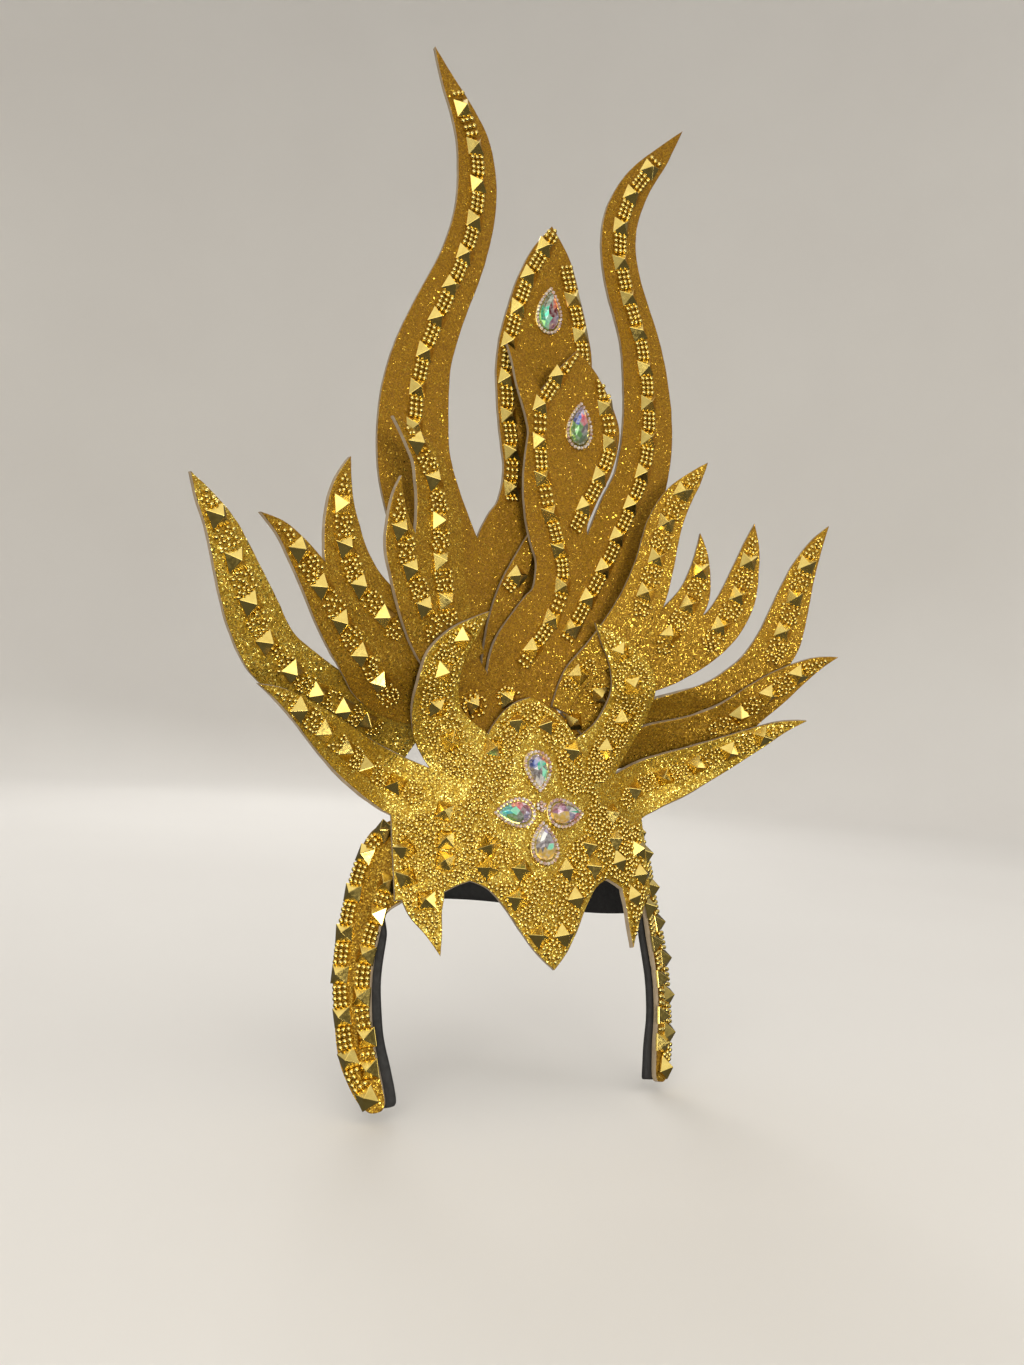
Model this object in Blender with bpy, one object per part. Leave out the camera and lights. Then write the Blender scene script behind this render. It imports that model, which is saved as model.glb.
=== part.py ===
"""Carnival crown: a foam headpiece of gold glitter flames with studded trim and crystals.

Metres, +Z up, the wearer faces -Y. The origin is where the head sits, in the middle of the
head at the height of the temples. Left and right are as seen from the front.
"""
import bisect
import math

import bmesh
import bpy
from mathutils import Vector

# Driving sizes
FLAME_REACH = 0.157        # middle to the tip of a low side flame
FLAME_RISE = 0.431         # head seat to the tip of the tallest flame
FLAME_WIDTH = 0.040        # the width that flame tables share out
BROW_HALF = 0.076          # middle to the seam with a cheek guard
BROW_DROP = 0.052          # head seat down to the tip of the forehead peak
BROW_DEPTH = 0.095         # head seat forward to the lowest part of the forehead
FRONT_LEAN = 0.050         # how far the front sheet leans back above the forehead
SIDE_SWEEP = 0.029         # how far the front sheet comes forward at the low side flames
TEMPLE_WRAP = 0.022        # how far the forehead part wraps back at the temples
TALL_DEPTH = 0.029         # head seat forward to the rear sheet of tall flames
GUARD_DROP = 0.124         # head seat down to the tip of a cheek guard
GUARD_OUT = 0.100          # middle to the widest part of a cheek guard
GUARD_DEPTH = 0.070        # head seat forward to the tip of a cheek guard
HEAD_BACK = 0.097          # head seat back to the nape band
HEAD_HALF = 0.079          # middle to the nape band at the side of the head
BAND_HEIGHT = 0.020
BAND_DROP = 0.040          # head seat down to the middle of the nape band at the back
FOAM = 0.003               # thickness of every foam sheet
LINING = 0.003             # black foam behind a cheek guard
SEAM = 0.0005              # clearance between glued pieces
STUD = 0.0095              # side of a pyramid stud, and width of the trim
STUD_HEIGHT = 0.0040
TAPE = 0.0016              # thickness of the trim between the studs
STUD_PITCH = 0.0205        # stud to stud along a row
EDGE_MARGIN = 0.0010       # bare foam between trim and an edge
TWIN_MARGIN = 0.0030       # bare foam between the two rows on a guard
GUARD_LAP = 0.0050         # how far a guard reaches behind the forehead part
GUARD_SEAM = 0.0008        # clearance on the twisted guards
TRIM_SEAM = 0.0009         # clearance under a row of trim
HORN_SEAM = 0.0012         # the same on the horns
BENT_SEAM = 0.0017         # the same where the sheets bend most
LINING_INSET = 0.0030      # outer edge of a guard to the edge of its lining
LINING_PROUD = 0.0050      # how far a lining shows past a guard's inner edge
GUARD_PIECES = 3           # steps between two rows of a guard
GUARD_PHASE = 0.3          # share of the spare length before a guard's first stud
BAND_START = 6             # first place on a guard's rear edge that the band joins
BAND_LAP = 0.45            # how far the band reaches behind a guard, as a share of its width
BAND_ROWS = 4              # places across the band
BAND_PIECES = 20           # steps round the band
BAND_BLEND = 0.28          # share of the band that turns upright
STONE_BORDER = 0.0034      # width of the rhinestone border round a crystal
BORDER_HEIGHT = 0.0022
STONE_HEIGHT = 0.0062
GIRDLE_STEP = 0.0002       # how far the edge of a stone stands above its border
SHEET_STEP = 0.0035        # from one glued layer of foam to the next
TALL_SPACING = 0.0050      # from one upright sheet to the next, with trim between
SPINE_STEP = 0.0135        # spacing of the sections along a flame
TRIM_STEP = 0.0030         # spacing of the places along a row of trim
STUD_STEP = 0.0010         # the same along the rows of studs on the forehead
STUD_SPARE = 0.0008        # shortest stretch of tape past an end stud
BEND_STEP = 0.0130         # spacing of the cuts that let the forehead sheet bend
SIDE_STEP = 0.0190         # the same for the side flames
TALL_STEP = 0.0300         # the same for the tall sheets
TIGHT_STEP = 0.0080        # the same where the sheets curve more
TIGHT_BENDS = {0: (0.17, 0.22), 2: (0.09, 0.15)}   # where that is, as shares of rise
GRID_OFFSET = 0.00013      # keeps the cuts off the corners of the outlines
SLOPE_SPAN = 0.0005        # half the stretch over which a sheet's slope is taken
JOIN_HALF = 0.010          # half-depth of the bodies that outlines are joined as
JOIN_EXTRA = 0.001         # how much deeper each next one is
HOLE_HALF = 0.100          # half-depth of the bodies that holes are cut with
WELD = 0.0002              # points of an outline closer than this become one

# Depth of the front sheet up its middle: up (share of rise), lean (share of the lean)
FRONT_ROWS = (
    (-0.15, 0.00), (-0.12, 0.08), (-0.035, 0.33), (0.046, 0.57), (0.102, 0.73),
    (0.151, 0.88), (0.190, 1.00), (0.225, 0.98), (0.295, 0.89), (0.35, 0.88), (1.50, 0.88),
)
# Bend of the front sheet sideways: out (share of reach), wrap (share of the temple wrap) and
# sweep (share of the side sweep), both for the low part that follows the head
BEND_ROWS = (
    (0.00, 0.00, 0.00), (0.19, 0.18, 0.00), (0.36, 0.66, 0.00), (0.44, 0.93, 0.00),
    (0.50, 1.00, 0.00), (0.56, 1.00, 0.12), (0.64, 1.00, 0.44), (0.73, 1.00, 0.78),
    (0.83, 1.00, 1.12), (1.00, 1.00, 1.78), (1.28, 1.00, 2.69),
)
BLEND_LOW = 0.090          # share of rise where the sheet starts to leave the head's curve
BLEND_HIGH = 0.225         # share of rise where it has left it
FOOT_LOW = 0.18            # share of rise where the tall sheets' feet end
FOOT_HIGH = 0.36           # share of rise where the tall sheets stand upright
REAR_LAYER = 4             # layers from the front sheet to the rear tall sheet
SIDE_REAR_LAYER = 3.2      # the same to the rear side flames
TALL_SLOPE = 0.08          # forward slope of the tall sheets far from the middle
SWEEP_SLOPE = 0.36         # forward slope of the free flames far from the middle
SWEEP_ROUND = 0.040        # half-width of the round between their two sides

# Flames: rows from the tip to the root with out (share of reach), up (share of rise)
# and wide (share of the flame width)
FLAMES = {
    "left_tall": (
        (-0.478, 1.000, 0.00), (-0.420, 0.965, 0.20), (-0.363, 0.935, 0.35), (-0.312, 0.900, 0.50),
        (-0.287, 0.856, 0.58), (-0.287, 0.805, 0.60), (-0.325, 0.742, 0.64), (-0.389, 0.680, 0.72),
        (-0.446, 0.615, 0.84), (-0.465, 0.557, 0.98), (-0.459, 0.494, 1.05), (-0.420, 0.441, 1.12),
        (-0.338, 0.378, 1.15), (-0.229, 0.313, 1.15),
    ),
    "leaf_a": (
        (0.019, 0.822, 0.00), (0.022, 0.782, 0.62), (0.020, 0.738, 1.00), (0.022, 0.696, 1.27),
        (0.025, 0.661, 1.45), (0.025, 0.622, 1.50), (0.025, 0.559, 1.35), (0.025, 0.487, 1.08),
        (0.013, 0.441, 1.12), (-0.020, 0.390, 1.40), (-0.045, 0.300, 1.50), (-0.045, 0.215, 1.30),
    ),
    "right_tall": (
        (0.497, 0.986, 0.00), (0.408, 0.940, 0.27), (0.328, 0.900, 0.42), (0.268, 0.849, 0.52),
        (0.262, 0.800, 0.55), (0.296, 0.752, 0.58), (0.360, 0.696, 0.62), (0.395, 0.650, 0.70),
        (0.420, 0.592, 0.78), (0.424, 0.550, 0.82), (0.404, 0.494, 0.85), (0.356, 0.450, 0.88),
        (0.280, 0.378, 0.84), (0.180, 0.306, 0.72), (0.105, 0.255, 0.56), (0.060, 0.190, 0.46),
    ),
    "leaf_b": (
        (0.121, 0.657, 0.00), (0.127, 0.631, 0.55), (0.127, 0.599, 1.05), (0.127, 0.561, 1.42),
        (0.115, 0.515, 1.36), (0.087, 0.471, 1.18), (0.080, 0.425, 0.95), (0.115, 0.376, 0.84),
        (0.110, 0.330, 0.88), (0.035, 0.285, 0.94), (-0.032, 0.248, 0.94), (-0.055, 0.205, 0.88),
        (-0.050, 0.170, 0.70),
    ),
    "hook": (
        (-0.159, 0.645, 0.00), (-0.124, 0.631, 0.13), (-0.085, 0.606, 0.26), (-0.035, 0.575, 0.40),
        (0.020, 0.535, 0.50),
    ),
    "left_foot": (
        (-0.236, 0.262, 0.25), (-0.242, 0.244, 0.35), (-0.244, 0.234, 0.48), (-0.242, 0.223, 0.62),
        (-0.236, 0.204, 0.66), (-0.220, 0.179, 0.68), (-0.172, 0.146, 0.65),
    ),
    "right_foot": (
        (0.019, 0.194, 0.35), (0.064, 0.180, 0.40), (0.104, 0.166, 0.40), (0.182, 0.140, 0.40),
    ),
    "inner_left": (
        (0.010, 0.425, 0.00), (-0.020, 0.385, 0.22), (-0.058, 0.346, 0.34), (-0.090, 0.306, 0.42),
        (-0.108, 0.268, 0.46), (-0.115, 0.222, 0.46),
    ),
    "side_left_2": (
        (-1.236, 0.397, 0.00), (-1.197, 0.378, 0.18), (-1.140, 0.350, 0.36), (-1.083, 0.308, 0.53),
        (-1.025, 0.266, 0.66), (-0.955, 0.227, 0.70), (-0.853, 0.202, 0.70), (-0.745, 0.181, 0.70),
        (-0.618, 0.162, 0.68), (-0.497, 0.144, 0.62), (-0.395, 0.125, 0.52),
    ),
    "side_left_3": (
        (-1.032, 0.369, 0.00), (-0.962, 0.356, 0.18), (-0.911, 0.339, 0.30), (-0.847, 0.313, 0.43),
        (-0.777, 0.281, 0.56), (-0.688, 0.244, 0.65), (-0.599, 0.210, 0.68), (-0.510, 0.191, 0.62),
        (-0.395, 0.177, 0.52),
    ),
    "side_left_4": (
        (-0.752, 0.450, 0.00), (-0.767, 0.427, 0.18), (-0.774, 0.401, 0.33), (-0.764, 0.371, 0.48),
        (-0.745, 0.341, 0.60), (-0.688, 0.306, 0.70), (-0.586, 0.276, 0.75), (-0.484, 0.251, 0.75),
        (-0.350, 0.220, 0.68),
    ),
    "side_left_5": (
        (-0.573, 0.441, 0.00), (-0.580, 0.418, 0.15), (-0.573, 0.390, 0.32), (-0.554, 0.362, 0.50),
        (-0.516, 0.334, 0.60), (-0.471, 0.304, 0.70), (-0.414, 0.271, 0.74), (-0.331, 0.237, 0.74),
    ),
    "side_left_6": (
        (-0.618, 0.506, 0.00), (-0.555, 0.490, 0.20), (-0.490, 0.471, 0.42), (-0.433, 0.425, 0.62),
        (-0.414, 0.376, 0.73), (-0.395, 0.329, 0.74), (-0.344, 0.278, 0.74), (-0.268, 0.232, 0.68),
    ),
    "side_right_6": (
        (0.580, 0.522, 0.00), (0.535, 0.499, 0.22), (0.484, 0.473, 0.38), (0.440, 0.434, 0.48),
        (0.414, 0.383, 0.53), (0.382, 0.339, 0.60), (0.322, 0.297, 0.58), (0.246, 0.260, 0.48),
        (0.170, 0.227, 0.37), (0.126, 0.184, 0.26),
    ),
    "side_right_5": (
        (0.580, 0.429, 0.00), (0.588, 0.406, 0.15), (0.586, 0.376, 0.30), (0.573, 0.348, 0.43),
        (0.529, 0.316, 0.55), (0.459, 0.269, 0.60), (0.369, 0.232, 0.60), (0.280, 0.204, 0.55),
        (0.185, 0.167, 0.45),
    ),
    "side_right_4": (
        (0.771, 0.448, 0.00), (0.764, 0.418, 0.22), (0.752, 0.390, 0.35), (0.726, 0.348, 0.50),
        (0.682, 0.313, 0.55), (0.605, 0.281, 0.60), (0.510, 0.255, 0.60), (0.395, 0.232, 0.55),
    ),
    "side_right_3": (
        (1.057, 0.455, 0.00), (1.013, 0.427, 0.20), (0.972, 0.390, 0.36), (0.936, 0.343, 0.50),
        (0.898, 0.292, 0.62), (0.841, 0.251, 0.65), (0.732, 0.213, 0.65), (0.605, 0.190, 0.65),
        (0.459, 0.172, 0.58),
    ),
    "side_right_2": (
        (1.102, 0.278, 0.00), (1.030, 0.267, 0.20), (0.943, 0.244, 0.40), (0.847, 0.213, 0.55),
        (0.758, 0.179, 0.64), (0.656, 0.158, 0.64), (0.535, 0.146, 0.60), (0.400, 0.132, 0.50),
    ),
    "side_1": (
        (1.000, 0.190, 0.00), (0.917, 0.179, 0.18), (0.822, 0.158, 0.36), (0.713, 0.132, 0.52),
        (0.599, 0.107, 0.64), (0.490, 0.086, 0.72), (0.369, 0.067, 0.78), (0.240, 0.055, 0.80),
    ),
    "horn": (
        (0.204, 0.299, 0.00), (0.255, 0.280, 0.22), (0.312, 0.260, 0.40), (0.360, 0.232, 0.58),
        (0.370, 0.197, 0.64), (0.344, 0.160, 0.72), (0.268, 0.125, 0.88), (0.160, 0.097, 0.90),
    ),
}
# Parts of the forehead piece: out (share of the brow half), up (share of the brow drop)
# and wide (share of the brow half)
BROW_PARTS = {
    "arch": (
        (0.00, 1.64, 0.00), (0.00, 1.58, 0.22), (0.00, 1.48, 0.42), (0.00, 1.35, 0.60),
        (0.00, 1.19, 0.74), (0.00, 0.90, 0.86), (0.00, 0.40, 1.10),
    ),
    "peak": (
        (0.00, -1.00, 0.00), (0.00, -0.85, 0.22), (0.00, -0.64, 0.44), (0.00, -0.44, 0.62),
        (0.00, -0.26, 0.84), (0.00, -0.18, 1.12), (0.00, 0.30, 1.20), (0.00, 0.90, 0.90),
    ),
    "band_left": (
        (-1.00, 0.00, 0.56), (-0.86, 0.00, 0.55), (-0.70, 0.10, 0.50), (-0.50, 0.22, 0.50),
        (-0.20, 0.30, 0.60), (0.10, 0.30, 0.60),
    ),
    "point_left": (
        (-0.74, -0.89, 0.00), (-0.77, -0.70, 0.10), (-0.81, -0.52, 0.20), (-0.83, -0.36, 0.27),
        (-0.83, -0.10, 0.27),
    ),
}
# Cheek guard: outer and inner edge, each with out (share of the guard's reach), fore (share
# of the guard's depth) and down (share of the guard's drop), from the seam to the tip
GUARD_ROWS = (
    ((0.832, 0.475, -0.080), (0.785, 0.720, 0.240)),
    ((0.905, 0.460, 0.080), (0.812, 0.720, 0.330)),
    ((0.960, 0.480, 0.270), (0.838, 0.745, 0.440)),
    ((1.000, 0.540, 0.440), (0.850, 0.800, 0.560)),
    ((1.000, 0.640, 0.630), (0.845, 0.860, 0.700)),
    ((0.985, 0.740, 0.800), (0.815, 0.920, 0.820)),
    ((0.945, 0.840, 0.900), (0.795, 0.970, 0.900)),
    ((0.900, 0.930, 0.965), (0.785, 1.000, 0.955)),
    ((0.850, 0.980, 0.995), (0.800, 1.000, 0.985)),
)
SEAM_TOP = 0.39            # top and bottom of the seam between forehead and guard,
SEAM_BOTTOM = -0.40        # as shares of the brow drop
# Rows of studs over the forehead, left side: out (share of the brow half), up (share of drop)
BROW_STUDS = (
    ((-0.92, -0.20), (-0.72, -0.05), (-0.50, -0.02), (-0.29, -0.24), (-0.13, -0.60), (-0.03, -0.84)),
    ((-0.92, 0.06), (-0.68, 0.17), (-0.45, 0.16), (-0.24, 0.00), (-0.08, -0.28)),
    ((-0.66, 0.44), (-0.48, 0.36)),
    ((-0.12, 1.36), (-0.30, 1.14), (-0.38, 0.80)),
    ((-0.80, -0.40), (-0.76, -0.66)),
)
# Stretches of each side flame that carry trim, from the tip, as shares of its length; a row
# stops where another piece lies over it
SIDE_TRIM = {
    "side_left_2": ((0.08, 0.86),), "side_left_3": ((0.10, 0.84),),
    "side_left_4": ((0.10, 0.72),), "side_left_5": ((0.12, 0.84),),
    "side_left_6": ((0.08, 0.80),), "side_right_6": ((0.08, 0.57), (0.78, 0.95)),
    "side_right_5": ((0.10, 0.52),), "side_right_4": ((0.09, 0.62),),
    "side_right_3": ((0.08, 0.50),), "side_right_2": ((0.08, 0.58),),
}
BENT_FLAMES = ("side_left_2", "side_left_3", "side_right_2")
# The same for the tall flames, the horns and the lowest flames
TALL_TRIM = {"left_tall": (0.07, 0.72), "inner_left": (0.20, 0.50), "right_tall": (0.07, 0.90)}
FRONT_TRIM = {"side_1": (0.09, 0.80), "horn": (0.08, 0.86)}
# Stretch of each leaf border that carries trim, in the same shares
LEAF_A_TRIM = {"left": (0.03, 0.62), "right": (0.10, 0.36)}
LEAF_B_TRIM = (0.10, 0.46)
# Row of trim down the left border of leaf B and on down its stem: out, up
LEAF_B_STEM = (
    (0.090, 0.640), (0.020, 0.600), (-0.025, 0.560), (0.000, 0.515), (0.015, 0.466),
    (0.065, 0.422), (0.105, 0.376), (0.110, 0.325), (0.045, 0.283), (-0.030, 0.236),
)
# Bare leaf round the emblem: out, up, wide as in the forehead parts
EMBLEM = (
    (0.00, 1.27, 0.00), (0.00, 1.15, 0.19), (0.00, 1.00, 0.32), (0.00, 0.77, 0.35),
    (0.00, 0.63, 0.54), (0.00, 0.46, 0.78), (0.00, 0.27, 0.66), (0.00, 0.11, 0.36),
    (0.00, -0.05, 0.29), (0.00, -0.15, 0.06),
)
# Crystals of the emblem: out (share of the brow half), up (share of the brow drop) and the
# turn of the point away from straight up, in degrees
EMBLEM_STONES = {
    "top": (0.00, 0.88, 180.0),
    "left": (-0.195, 0.46, 90.0),
    "right": (0.195, 0.46, -90.0),
    "bottom": (0.00, 0.17, 0.0),
}
EMBLEM_STONE = (0.0062, 0.0090)     # half-width and half-length
LEAF_STONE = (0.0062, 0.0108)
STONE_SIDES = 12
PEAR_FULL = 1.16                    # brings the widest part of the pear to the half-width
PEAR_POINT = 0.8                    # more draws the pear's point out further
CROWN = (0.84, 0.86, 0.72)          # shares of half-width, half-length and height where the
TABLE = (0.50, 0.54, 1.00)          # crown facets meet, and the same for the table
# Crystals of the leaves: out (share of reach) and up (share of rise)
LEAF_STONES = {"leaf_a": (0.025, 0.708), "leaf_b": (0.142, 0.557)}

GOLD_FOAM = ("gold glitter foam", (0.55, 0.34, 0.06, 1.0), 0.55, 0.6)
GOLD_TRIM = ("gold trim", (0.80, 0.62, 0.20, 1.0), 0.22, 1.0)
BLACK_FOAM = ("black foam", (0.015, 0.014, 0.013, 1.0), 0.85, 0.0)
CRYSTAL = ("crystal", (0.75, 0.85, 0.88, 1.0), 0.06, 0.3)


def clear_scene():
    for obj in list(bpy.data.objects):
        bpy.data.objects.remove(obj, do_unlink=True)


def material(spec):
    name, colour, rough, metal = spec
    mat = bpy.data.materials.get(name)
    if mat is None:
        mat = bpy.data.materials.new(name)
        mat.use_nodes = True
        shader = mat.node_tree.nodes["Principled BSDF"]
        shader.inputs["Base Color"].default_value = colour
        shader.inputs["Roughness"].default_value = rough
        shader.inputs["Metallic"].default_value = metal
    return mat


def add_object(name, bm, spec):
    """Turn a bmesh into a named object whose faces point out."""
    bmesh.ops.recalc_face_normals(bm, faces=bm.faces[:])
    mesh = bpy.data.meshes.new(name)
    bm.to_mesh(mesh)
    bm.free()
    mesh.materials.append(material(spec))
    obj = bpy.data.objects.new(name, mesh)
    bpy.context.scene.collection.objects.link(obj)
    return obj


# Curves through the tables

def smooth_value(xs, ys, x):
    """Curve through the points that never overshoots them."""
    count = len(xs)
    if x <= xs[0]:
        return ys[0]
    if x >= xs[-1]:
        return ys[-1]
    steps = [(ys[i + 1] - ys[i]) / (xs[i + 1] - xs[i]) for i in range(count - 1)]

    def slope(i):
        if i == 0 or i == count - 1:
            return steps[min(i, count - 2)]
        before, after = steps[i - 1], steps[i]
        if before * after <= 0.0:
            return 0.0
        return 2.0 * before * after / (before + after)

    i = bisect.bisect_right(xs, x) - 1
    width = xs[i + 1] - xs[i]
    t = (x - xs[i]) / width
    a, b = slope(i) * width, slope(i + 1) * width
    return (
        ys[i] * (2 * t ** 3 - 3 * t ** 2 + 1) + a * (t ** 3 - 2 * t ** 2 + t)
        + ys[i + 1] * (3 * t ** 2 - 2 * t ** 3) + b * (t ** 3 - t ** 2)
    )


def smooth_path(points, step):
    """Round curve through points of any dimension, with a new point at every step."""
    path = []
    last = len(points) - 1
    for i in range(last):
        p1, p2 = points[i], points[i + 1]
        p0 = points[i - 1] if i > 0 else [2 * a - b for a, b in zip(p1, p2)]
        p3 = points[i + 2] if i + 2 <= last else [2 * b - a for a, b in zip(p1, p2)]
        pieces = max(1, round(math.dist(p1[:2], p2[:2]) / step))
        for k in range(pieces):
            t = k / pieces
            path.append([
                0.5 * (2 * b + (c - a) * t + (2 * a - 5 * b + 4 * c - d) * t ** 2
                       + (3 * b - a - 3 * c + d) * t ** 3)
                for a, b, c, d in zip(p0, p1, p2, p3)
            ])
    path.append(list(points[-1]))
    return path


# Surfaces that the sheets are bent to: out and up give the depth

FRONT_UP = [up * FLAME_RISE for up, lean in FRONT_ROWS]
FRONT_Y = [lean * FRONT_LEAN - BROW_DEPTH for up, lean in FRONT_ROWS]
BEND_OUT = [out * FLAME_REACH for out, wrap, sweep in BEND_ROWS]
BEND_Y = [wrap * TEMPLE_WRAP - sweep * SIDE_SWEEP for out, wrap, sweep in BEND_ROWS]


def free_sweep(x, slope):
    return slope * (math.hypot(x, SWEEP_ROUND) - SWEEP_ROUND)


def front_depth(x, z):
    """Depth of the front sheet."""
    share = (z / FLAME_RISE - BLEND_LOW) / (BLEND_HIGH - BLEND_LOW)
    share = min(1.0, max(0.0, share))
    share = share * share * (3.0 - 2.0 * share)
    low = smooth_value(BEND_OUT, BEND_Y, abs(x))
    high = -free_sweep(x, SWEEP_SLOPE)
    middle = smooth_value(FRONT_UP, FRONT_Y, z)
    return middle + (1.0 - share) * low + share * high


def slopes(depth, x, z):
    span = SLOPE_SPAN
    along_x = (depth(x + span, z) - depth(x - span, z)) / (2.0 * span)
    along_z = (depth(x, z + span) - depth(x, z - span)) / (2.0 * span)
    return along_x, along_z


def crest_depth(x, z, layer):
    """Depth of the layer so many sheets behind the front one, wider apart on a slope."""
    along_x, along_z = slopes(front_depth, x, z)
    stretch = math.sqrt(1.0 + along_x ** 2 + along_z ** 2)
    return front_depth(x, z) + layer * SHEET_STEP * stretch


def tall_depth(x, z, layer):
    """Depth of the rear tall sheet, or of the layer so many sheets in front of it.

    The tall sheets stand upright, and their feet bend to lie behind the other layers.
    """
    share = (z / FLAME_RISE - FOOT_LOW) / (FOOT_HIGH - FOOT_LOW)
    share = min(1.0, max(0.0, share))
    share = share * share * (3.0 - 2.0 * share)
    upright = -TALL_DEPTH - free_sweep(x, TALL_SLOPE) - layer * TALL_SPACING
    return share * upright + (1.0 - share) * crest_depth(x, z, REAR_LAYER - layer)


class Sheet:
    """A foam sheet bent to a depth function; the face towards the viewer is the front."""

    def __init__(self, depth, layer):
        self.depth = depth
        self.layer = layer

    def normal(self, x, z):
        along_x, along_z = slopes(lambda a, b: self.depth(a, b, self.layer), x, z)
        return Vector((along_x, -1.0, along_z)).normalized()

    def point(self, x, z, out=0.0):
        """Place on the sheet, raised off its front face."""
        base = Vector((x, self.depth(x, z, self.layer), z))
        return base + self.normal(x, z) * out


FRONT = Sheet(crest_depth, 0)
LAYER_1 = Sheet(crest_depth, 1)
LAYER_2 = Sheet(crest_depth, 2)
LAYER_3 = Sheet(crest_depth, SIDE_REAR_LAYER)
TALL_REAR = Sheet(tall_depth, 0)
TALL_MIDDLE = Sheet(tall_depth, 1)
TALL_FRONT = Sheet(tall_depth, 2)


# Flat outlines

def flame_rows(name, side=1.0):
    return [
        (side * out * FLAME_REACH, up * FLAME_RISE, wide * FLAME_WIDTH)
        for out, up, wide in FLAMES[name]
    ]


def brow_rows(rows, side=1.0):
    return [
        (side * out * BROW_HALF, up * BROW_DROP, wide * BROW_HALF)
        for out, up, wide in rows
    ]


def ribbon_outline(rows):
    """Closed outline of a shape that has a width at each place along its middle line."""
    path = smooth_path(rows, SPINE_STEP)
    left, right = [], []
    for i, (x, z, width) in enumerate(path):
        before = path[max(0, i - 1)]
        after = path[min(len(path) - 1, i + 1)]
        along = Vector((after[0] - before[0], after[1] - before[1])).normalized()
        half = max(0.0, width) / 2.0
        left.append((x - along.y * half, z + along.x * half))
        right.append((x + along.y * half, z - along.x * half))
    if path[0][2] < SEAM:
        right = right[1:]
    return left + right[::-1]


def prism(outline, half):
    """Flat outline pulled out both ways in depth."""
    bm = bmesh.new()
    verts = [bm.verts.new((x, -half, z)) for x, z in outline]
    face = bm.faces.new(verts)
    moved = bmesh.ops.extrude_face_region(bm, geom=[face])["geom"]
    top = [v for v in moved if isinstance(v, bmesh.types.BMVert)]
    bmesh.ops.translate(bm, verts=top, vec=(0.0, 2.0 * half, 0.0))
    bmesh.ops.recalc_face_normals(bm, faces=bm.faces[:])
    return bm


def hidden_object(bm):
    mesh = bpy.data.meshes.new("guide")
    bm.to_mesh(mesh)
    bm.free()
    obj = bpy.data.objects.new("guide", mesh)
    bpy.context.scene.collection.objects.link(obj)
    return obj


def combine(base, tools, operation):
    """Join tool meshes to a mesh or cut them from it, and return the result as a bmesh."""
    target = hidden_object(base)
    guides = [hidden_object(tool) for tool in tools]
    for guide in guides:
        step = target.modifiers.new(operation.lower(), "BOOLEAN")
        step.operation = operation
        step.solver = "EXACT"
        step.object = guide
    bpy.context.view_layer.update()
    evaluated = target.evaluated_get(bpy.context.evaluated_depsgraph_get())
    result = bmesh.new()
    result.from_mesh(evaluated.to_mesh())
    evaluated.to_mesh_clear()
    for obj in guides + [target]:
        mesh = obj.data
        bpy.data.objects.remove(obj, do_unlink=True)
        bpy.data.meshes.remove(mesh)
    return result


def flat_region(outlines, holes=()):
    """Flat faces that cover the outlines joined together, less the holes."""
    bodies = [prism(outline, JOIN_HALF + JOIN_EXTRA * i) for i, outline in enumerate(outlines)]
    solid = bodies[0]
    if len(bodies) > 1:
        solid = combine(solid, bodies[1:], "UNION")
    if holes:
        solid = combine(solid, [prism(hole, HOLE_HALF) for hole in holes], "DIFFERENCE")
    cut = bmesh.ops.bisect_plane(
        solid, geom=solid.verts[:] + solid.edges[:] + solid.faces[:],
        plane_co=(0, 0, 0), plane_no=(0, 1, 0))["geom_cut"]
    flat = bmesh.new()
    copies = {}
    for edge in (g for g in cut if isinstance(g, bmesh.types.BMEdge)):
        for vert in edge.verts:
            if vert not in copies:
                copies[vert] = flat.verts.new((vert.co.x, 0.0, vert.co.z))
        flat.edges.new([copies[v] for v in edge.verts])
    solid.free()
    bmesh.ops.remove_doubles(flat, verts=flat.verts[:], dist=WELD)
    bmesh.ops.triangle_fill(flat, use_beauty=True, use_dissolve=False, edges=flat.edges[:])
    bmesh.ops.dissolve_limit(
        flat, angle_limit=0.01, verts=flat.verts[:], edges=flat.edges[:], delimit=set())
    return flat


def slice_region(flat, step):
    """Cut flat faces along a grid so that they can bend, closer where the sheets curve more."""
    for axis, normal in ((0, (1, 0, 0)), (2, (0, 0, 1))):
        low = min(v.co[axis] for v in flat.verts)
        high = max(v.co[axis] for v in flat.verts)
        first, last = TIGHT_BENDS[axis]
        place = (math.ceil(low / step) - 1) * step + GRID_OFFSET
        while place < high:
            spot = [0.0, 0.0, 0.0]
            spot[axis] = place
            if place > low:
                bmesh.ops.bisect_plane(
                    flat, geom=flat.verts[:] + flat.edges[:] + flat.faces[:],
                    plane_co=spot, plane_no=normal)
            tight = first <= (abs(place) if axis == 0 else place) / FLAME_RISE <= last
            place += min(step, TIGHT_STEP) if tight else step


def bend_region(flat, sheet, thick, out=0.0):
    """Give flat faces a thickness and bend them to a sheet, raised off it by out."""
    bmesh.ops.triangulate(flat, faces=flat.faces[:])
    bm = bmesh.new()
    front, back = {}, {}
    for vert in flat.verts:
        x, z = vert.co.x, vert.co.z
        front[vert] = bm.verts.new(sheet.point(x, z, out + max(0.0, thick)))
        back[vert] = bm.verts.new(sheet.point(x, z, out + min(0.0, thick)))
    for face in flat.faces:
        bm.faces.new([front[v] for v in face.verts])
        bm.faces.new([back[v] for v in reversed(face.verts)])
    for edge in flat.edges:
        if len(edge.link_faces) == 1:
            a, b = edge.verts
            bm.faces.new((front[a], front[b], back[b], back[a]))
    flat.free()
    return bm


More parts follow.
